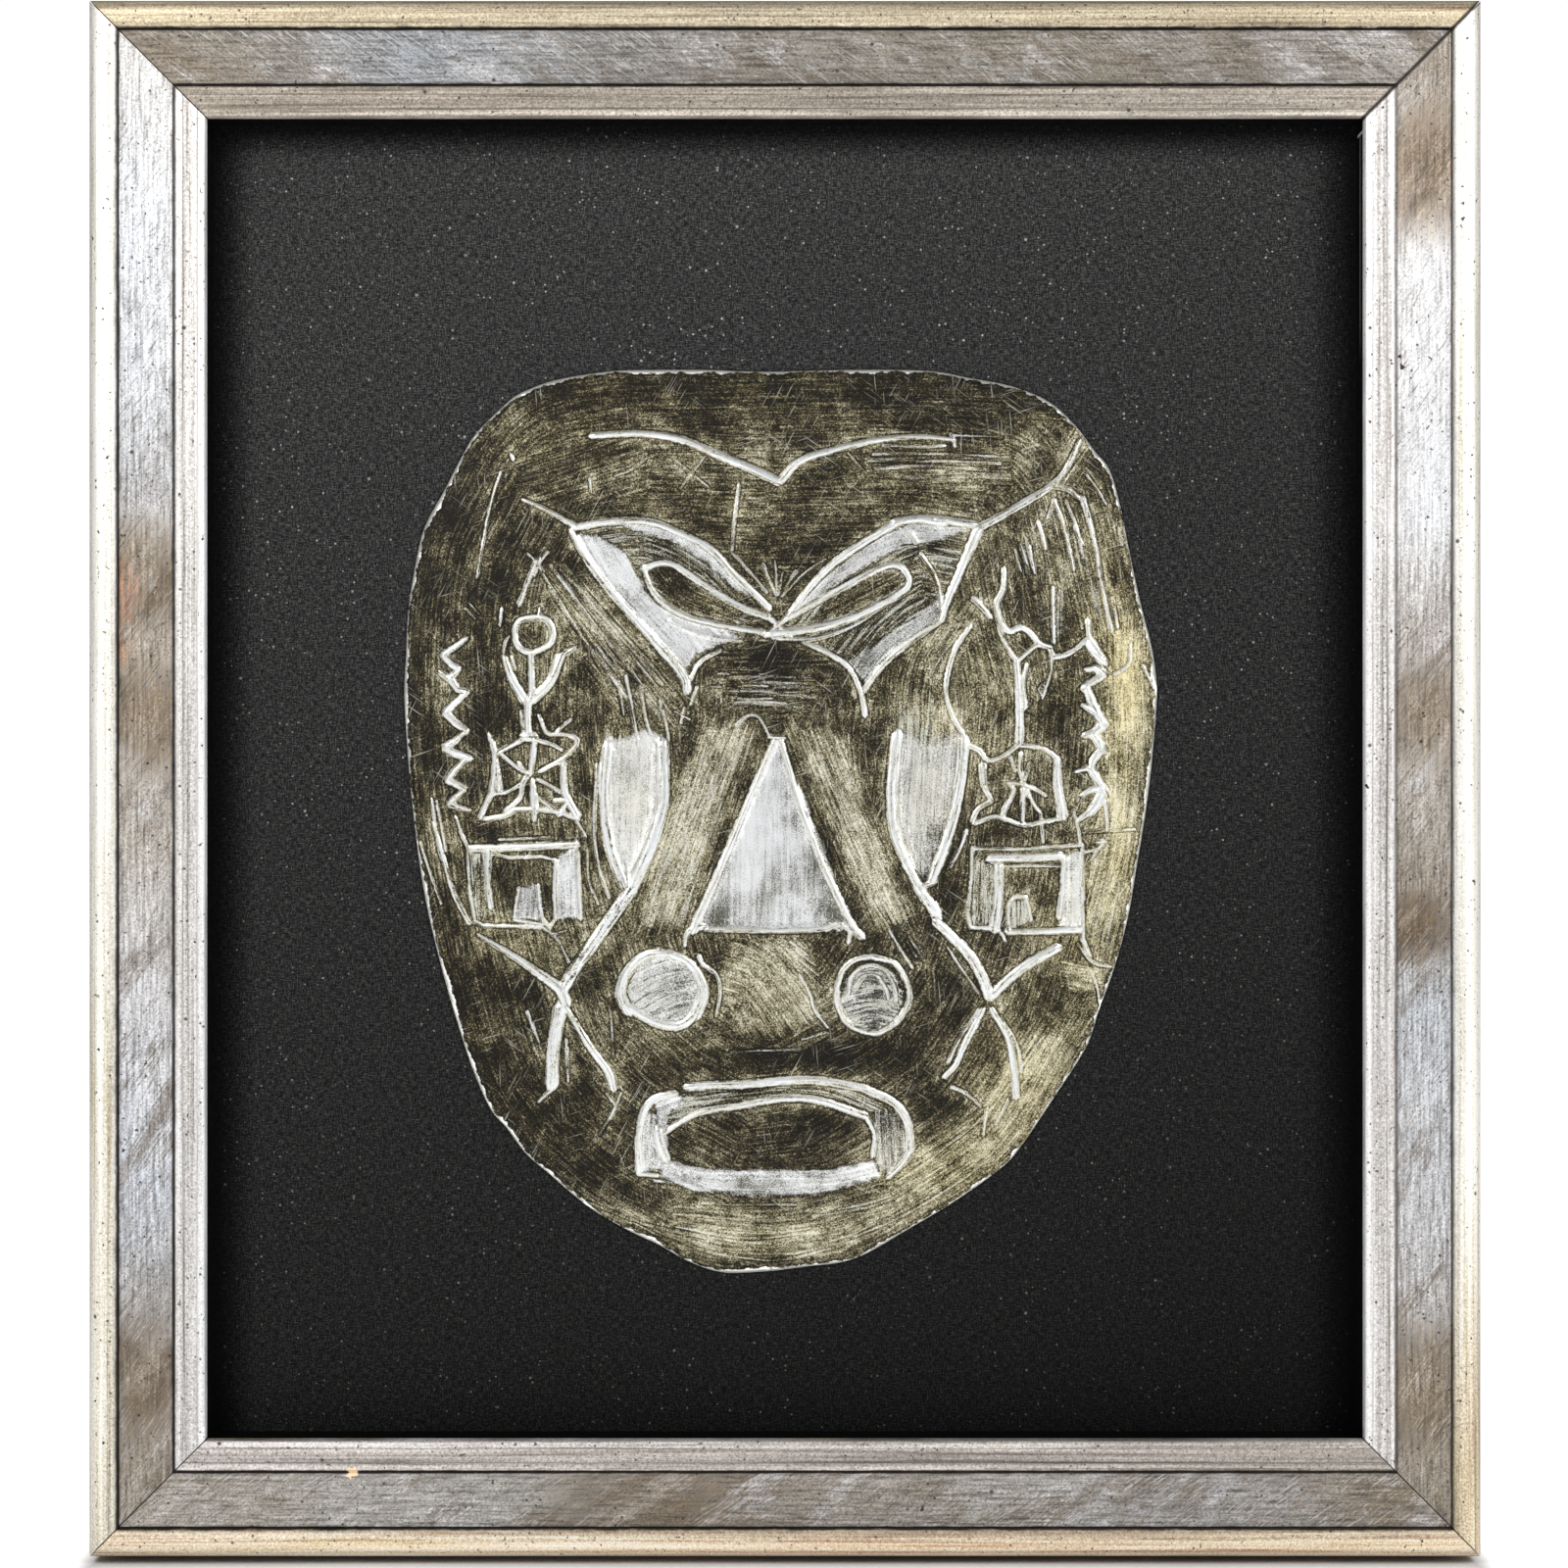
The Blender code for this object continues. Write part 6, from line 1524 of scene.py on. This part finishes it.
def grow_rim(edges, share):
    """Extrude the open edge, scale it towards the middle and bring it to its depth."""
    grown = bmesh.ops.extrude_edge_only(bm, edges=edges)["geom"]
    fresh = [g for g in grown if isinstance(g, bmesh.types.BMVert)]
    bmesh.ops.scale(bm, vec=(share, 1.0, share), verts=fresh)
    spots = np.array([(v.co.x, v.co.z) for v in fresh])
    for vert, form in zip(fresh, sheet_form(spots)):
        vert.co.y = -form
    return [g for g in grown if isinstance(g, bmesh.types.BMEdge)]


open_edges = [e for e in bm.edges if e.is_boundary]
for share in (1.0, 0.96, 0.93, 0.90, 0.86, 0.80, 0.72, 0.60):
    open_edges = grow_rim(open_edges, share)
bmesh.ops.contextual_create(bm, geom=open_edges)
bmesh.ops.triangulate(bm, faces=[f for f in bm.faces if len(f.verts) > 4])
bmesh.ops.translate(bm, vec=(MASK_X, MASK_BACK, MASK_Z), verts=bm.verts)
mask_mesh = bpy.data.meshes.new("embossed_mask")
bm.to_mesh(mask_mesh)
bm.free()
mask_mesh.update()
mask = bpy.data.objects.new("embossed_mask", mask_mesh)
bpy.context.scene.collection.objects.link(mask)
print("mask:", len(mask_mesh.vertices), "corners,", sum(len(p.vertices) - 2 for p in mask_mesh.polygons),
      "triangles")

# %% [markdown]
# ## What the finish needs to know
# The finish draws the bright lines, the hatching and the tone of the ground. It could only guess
# at them from the shape, so the mesh carries them: how far each corner is past the nearest bright
# edge, how bright that stroke is, how deep the patches lie, and the tone of the ground. A UV map
# holds the direction of the brush: inside a stroke it runs along the stroke, inside a patch along
# the patch's guide line, and elsewhere round the rim.
# %% Store the readings on the mesh
GROUND_TONE = 0.37
PATCH_KINDS = ("fill", "hatch", "smear")
coords = np.empty(len(mask_mesh.vertices) * 3)
mask_mesh.vertices.foreach_get("co", coords)
coords = coords.reshape(-1, 3)
spots = coords[:, [0, 2]] - (MASK_X, MASK_Z)
edge, bright, owner, _ = read_strokes(spots)


def patch_amount(spots, patch):
    """How much of a patch lies at each spot."""
    _, amount, softness, _, loop = patch
    return amount * smooth_step(0.5 + depth_inside(on_sheet(loop), spots) / (softness * MM))


levels = {kind: np.zeros(len(spots)) for kind in PATCH_KINDS}
for patch in PATCHES:
    amount = patch_amount(spots, patch)
    if patch[0] == "ground":
        for kind in levels:
            levels[kind] *= 1 - amount
    else:
        levels[patch[0]] = np.maximum(levels[patch[0]], amount)
tone, yellow = np.full(len(spots), GROUND_TONE), np.zeros(len(spots))
# Clouds of tone, among them painted shade beside the nose and painted light below the brows.
for (middle_x, middle_z), reach, lighter, yellower in CLOUDS_AND_PAINTED_SHADE:
    away = ((spots[:, 0] - middle_x * UNIT) / (reach[0] * MM)) ** 2
    away += ((spots[:, 1] - middle_z * UNIT) / (reach[1] * MM)) ** 2
    tone += lighter * np.exp(-away)
    yellow += yellower * np.exp(-away)
on_front = coords[:, 1] < MASK_BACK - 0.01 * MM
on_front &= np.arange(len(spots)) < len(flat)
readings = {
    "line_edge": np.where(on_front, edge / MM, 6.0), "line_bright": bright,
    "patch_fill": levels["fill"] * on_front, "patch_hatch": levels["hatch"] * on_front,
    "patch_smear": levels["smear"] * on_front, "ground_tone": tone, "ground_yellow": yellow,
    "rim_in": np.where(on_front, np.maximum(rim_distance(spots), 0.0) / MM, 3.0),
}
for name, values in readings.items():
    layer = mask_mesh.attributes.new(name, "FLOAT", "POINT")
    layer.data.foreach_set("value", values.astype(np.float32))
print("readings:", ", ".join(readings))

# %% Store the direction of the brush
PATCH_FELT, GUIDE_SHIFT, SPOTS_AT_ONCE = 0.02, 0.037, 40000
loop_vert = np.empty(len(mask_mesh.loops), int)
mask_mesh.loops.foreach_get("vertex_index", loop_vert)
sizes = np.empty(len(mask_mesh.polygons), int)
mask_mesh.polygons.foreach_get("loop_total", sizes)
loop_face = np.repeat(np.arange(len(sizes)), sizes)
loop_spots = spots[loop_vert]
centres = np.stack([np.bincount(loop_face, loop_spots[:, k]) / sizes for k in (0, 1)], 1)
face_edge, _, face_owner, _ = read_strokes(centres)
face_owner[face_edge > FOOT] = -1
face_patch = np.full(len(centres), -1)
for number, patch in enumerate(PATCHES):
    face_patch[patch_amount(centres, patch) > PATCH_FELT] = number

brush = np.zeros((len(loop_vert), 2))
rim_run = np.vstack([rim, rim[:1]])[::4]
guides = [(face_owner == n, s.line) for n, s in enumerate(strokes)]
guides += [((face_owner < 0) & (face_patch == n), smooth_line(on_sheet(p[3])))
           for n, p in enumerate(PATCHES)]
guides.append(((face_owner < 0) & (face_patch < 0), rim_run))
for number, (faces_here, line) in enumerate(guides):
    here = np.flatnonzero(faces_here[loop_face])
    for block in np.array_split(here, max(1, len(here) // SPOTS_AT_ONCE)):
        if len(block):
            _, passed, across = along_line(line, loop_spots[block])
            brush[block] = np.stack([passed + GUIDE_SHIFT * number, across], 1)
chart = mask_mesh.uv_layers.new(name="brush")
chart.data.foreach_set("uv", brush.astype(np.float32).ravel())
print("faces in strokes:", int((face_owner >= 0).sum()), "in patches:", int((face_patch >= 0).sum()))

# %% [markdown]
# ## Patina and rubbed metal
# The sheet was darkened first, all over, and then rubbed. So there is one dark ground, mottled and
# brushed, and one bright metal that shows wherever rubbing went through. Ragged edges come from
# adding streaky noise to the stored distance before it decides between the two.
# %% Mask finish
skin = Finish("patinated_sheet")
brush_uv = skin.chart("brush")
streak = skin.noise(skin.stretch(brush_uv, (260.0, 2600.0, 1.0)), detail=3.0, roughness=0.65)
long_streak = skin.noise(skin.stretch(brush_uv, (60.0, 1300.0, 1.0)), detail=3.0, roughness=0.65)
fine = skin.noise(skin.place, 2600.0, 2.0, 0.6)
mottle = skin.noise(skin.place, 1800.0, 3.0, 0.75)
broad_streak = skin.noise(skin.stretch(brush_uv, (55.0, 850.0, 1.0)), detail=4.0, roughness=0.7)
blotch = skin.noise(skin.place, 330.0, 3.0, 0.6)
drift = skin.noise(skin.place, 60.0, 4.0, 0.62)
line_edge, line_bright = skin.read("line_edge"), skin.read("line_bright")


def swing(value, reach):
    """Noise turned into plus or minus a reach."""
    return skin.math("MULTIPLY_ADD", value, 2 * reach, -reach)


def sum_of(*values):
    total = values[0]
    for value in values[1:]:
        total = skin.plus(total, value)
    return total


wobble = skin.noise(skin.place, 720.0, 3.0, 0.7)
past_edge = sum_of(line_edge, swing(streak, 0.80), swing(fine, 0.60), swing(wobble, 0.85),
                   swing(blotch, 0.60))
rubbed = skin.step(past_edge, 0.10, -0.16)
worn = sum_of(line_bright, swing(long_streak, 1.10), swing(fine, 0.40), swing(wobble, 0.60), -0.40)
rubbed = skin.times(rubbed, skin.step(worn, 0.10, 0.34))
print("nodes for lines and wear:", len(skin.nodes))

# %% [markdown]
# The ground is brown-black where the patina is whole, olive where it is thin and pale where it was
# rubbed. It is lighter close to the lines, partly where the cloth caught and partly as painted light
# beside them, and darker right at their feet, which is painted shade.
# %% Tone of the ground and its scratches
haze = skin.step(skin.noise(skin.place, 85.0, 3.0, 0.6), 0.38, 0.64)
# Lighter near the lines: partly rubbing, partly painted light.
near_line_rub_and_light = skin.times(skin.math("POWER", skin.step(line_edge, 4.5, 0.4), 1.6),
                       skin.math("MULTIPLY_ADD", haze, 1.0, 0.35))
# Painted shade at the feet of the lines.
foot_shadow = skin.times(skin.step(line_edge, 0.05, 0.25), skin.step(line_edge, 0.80, 0.35))
smear = skin.read("patch_smear")
tone_value = sum_of(
    skin.read("ground_tone"), swing(mottle, 0.80), swing(fine, 0.75), swing(blotch, 0.34),
    swing(drift, 0.55), swing(long_streak, 0.75), swing(streak, 0.35), skin.times(smear, 0.50),
    skin.times(near_line_rub_and_light, skin.math("MULTIPLY_ADD", broad_streak, 1.2, -0.36)),
    skin.times(foot_shadow, -0.30),
    skin.times(skin.step(skin.read("rim_in"), 5.0, 0.5), -0.07))
ground_tone = skin.ramp(
    skin.times(tone_value, 0.62),
    (0.10, (0.003, 0.002, 0.0005)), (0.23, (0.020, 0.0155, 0.006)), (0.36, (0.092, 0.078, 0.037)),
    (0.52, (0.31, 0.285, 0.190)), (0.76, (0.66, 0.64, 0.54)))
yellow_tone = skin.blend(1.0, ground_tone, (1.0, 0.93, 0.68), "MULTIPLY")
ground_tone = skin.blend(skin.step(skin.read("ground_yellow"), 0.0, 1.0), ground_tone, yellow_tone)


def scratch_set(turn, move):
    """Fine scratches that lean one way and come and go."""
    turned = skin.stretch(skin.place, (1, 1, 1), turn=(0, math.radians(turn), 0))
    lean = skin.stretch(turned, (70.0, 1.0, 1900.0), move=move)
    mark = skin.step(skin.noise(lean, 1.0, 2.0, 0.5), 0.635, 0.70)
    here = skin.step(skin.noise(skin.stretch(skin.place, (1, 1, 1), move=move), 48.0, 2.0), 0.50, 0.60)
    return skin.times(mark, here)


scratch = skin.math("MAXIMUM", skin.math("MAXIMUM", scratch_set(18, (1, 2, 3)), scratch_set(62, (7, 5, 2))),
                    skin.math("MAXIMUM", scratch_set(-35, (4, 9, 6)), scratch_set(95, (8, 3, 9))))
metal_pale = (0.44, 0.43, 0.36)
ground_tone = skin.blend(skin.times(scratch, 0.62), ground_tone, metal_pale)

hatch_amount = skin.read("patch_hatch")
hatch_mark = skin.step(sum_of(broad_streak, swing(fine, 0.12),
                              skin.math("MULTIPLY_ADD", hatch_amount, 0.24, -0.17)),
                       0.47, 0.56)
hatched = skin.times(hatch_mark, skin.step(hatch_amount, 0.0, 0.65))
hatch_tone = skin.ramp(sum_of(fine, swing(streak, 0.4)), (0.3, (0.24, 0.24, 0.18)),
                       (0.7, (0.62, 0.62, 0.56)))
ground_tone = skin.blend(hatched, ground_tone, hatch_tone)
print("nodes after the ground:", len(skin.nodes))

# %% [markdown]
# Filled patches were scraped down to clean metal, and the lines were polished. Both come last, as
# does the cut rim, where the metal is bare and a painted highlight runs along the edge.
# %% Bright metal
cloudy = skin.math("MULTIPLY_ADD", skin.read("ground_tone"), 0.75, -0.26)
silver = skin.ramp(sum_of(fine, swing(broad_streak, 0.40), swing(blotch, 0.12), swing(drift, 0.45), cloudy),
                   (0.24, (0.10, 0.10, 0.08)), (0.40, (0.42, 0.42, 0.40)), (0.52, (0.62, 0.63, 0.63)),
                   (0.70, (0.78, 0.78, 0.79)))
silver = skin.blend(skin.step(skin.read("ground_yellow"), 0.0, 1.0), silver,
                    skin.blend(1.0, silver, (1.0, 0.97, 0.84), "MULTIPLY"))
fill_mark = skin.step(sum_of(skin.read("patch_fill"), swing(long_streak, 0.42), swing(fine, 0.30), -0.12),
                      0.22, 0.55)
filled = skin.times(fill_mark, skin.step(skin.read("patch_fill"), 0.0, 0.8))
colour = skin.blend(filled, ground_tone, silver)
line_tone = sum_of(swing(long_streak, 1.00), swing(streak, 0.60), swing(fine, 0.50), swing(wobble, 0.40),
                   skin.math("MINIMUM", skin.times(past_edge, -0.22), 0.20), 0.50)
line_colour = skin.ramp(line_tone, (0.12, (0.12, 0.11, 0.08)), (0.34, (0.34, 0.33, 0.27)),
                        (0.56, (0.56, 0.555, 0.50)), (0.76, (0.66, 0.665, 0.65)),
                        (0.95, (0.66, 0.695, 0.75)))
colour = skin.blend(rubbed, colour, line_colour)
# Bare metal and a painted highlight along the cut rim.
rim_bare_and_highlight = skin.step(sum_of(skin.read("rim_in"), swing(blotch, 1.5), swing(drift, 2.0)), 0.74, 0.50)
colour = skin.blend(skin.times(rim_bare_and_highlight, 0.95), colour, (0.90, 0.90, 0.84))
metal_shows = skin.math("MAXIMUM", rubbed, skin.math("MAXIMUM", filled, rim_bare_and_highlight))
relief = sum_of(skin.times(mottle, 0.5), skin.times(streak, 0.4), skin.times(fine, 0.3))
skin.surface(Base_Color=colour, Metallic=skin.step(metal_shows, -1.0, 1.6),
             Roughness=skin.step(metal_shows, 2.9, -2.6),
             Normal=skin.bump(relief, 0.12 * MM, 0.7))
skin.shader.inputs["Specular IOR Level"].default_value = 0.25
mask_mesh.materials.append(skin.material)
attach(mask, "root")
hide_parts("mask")
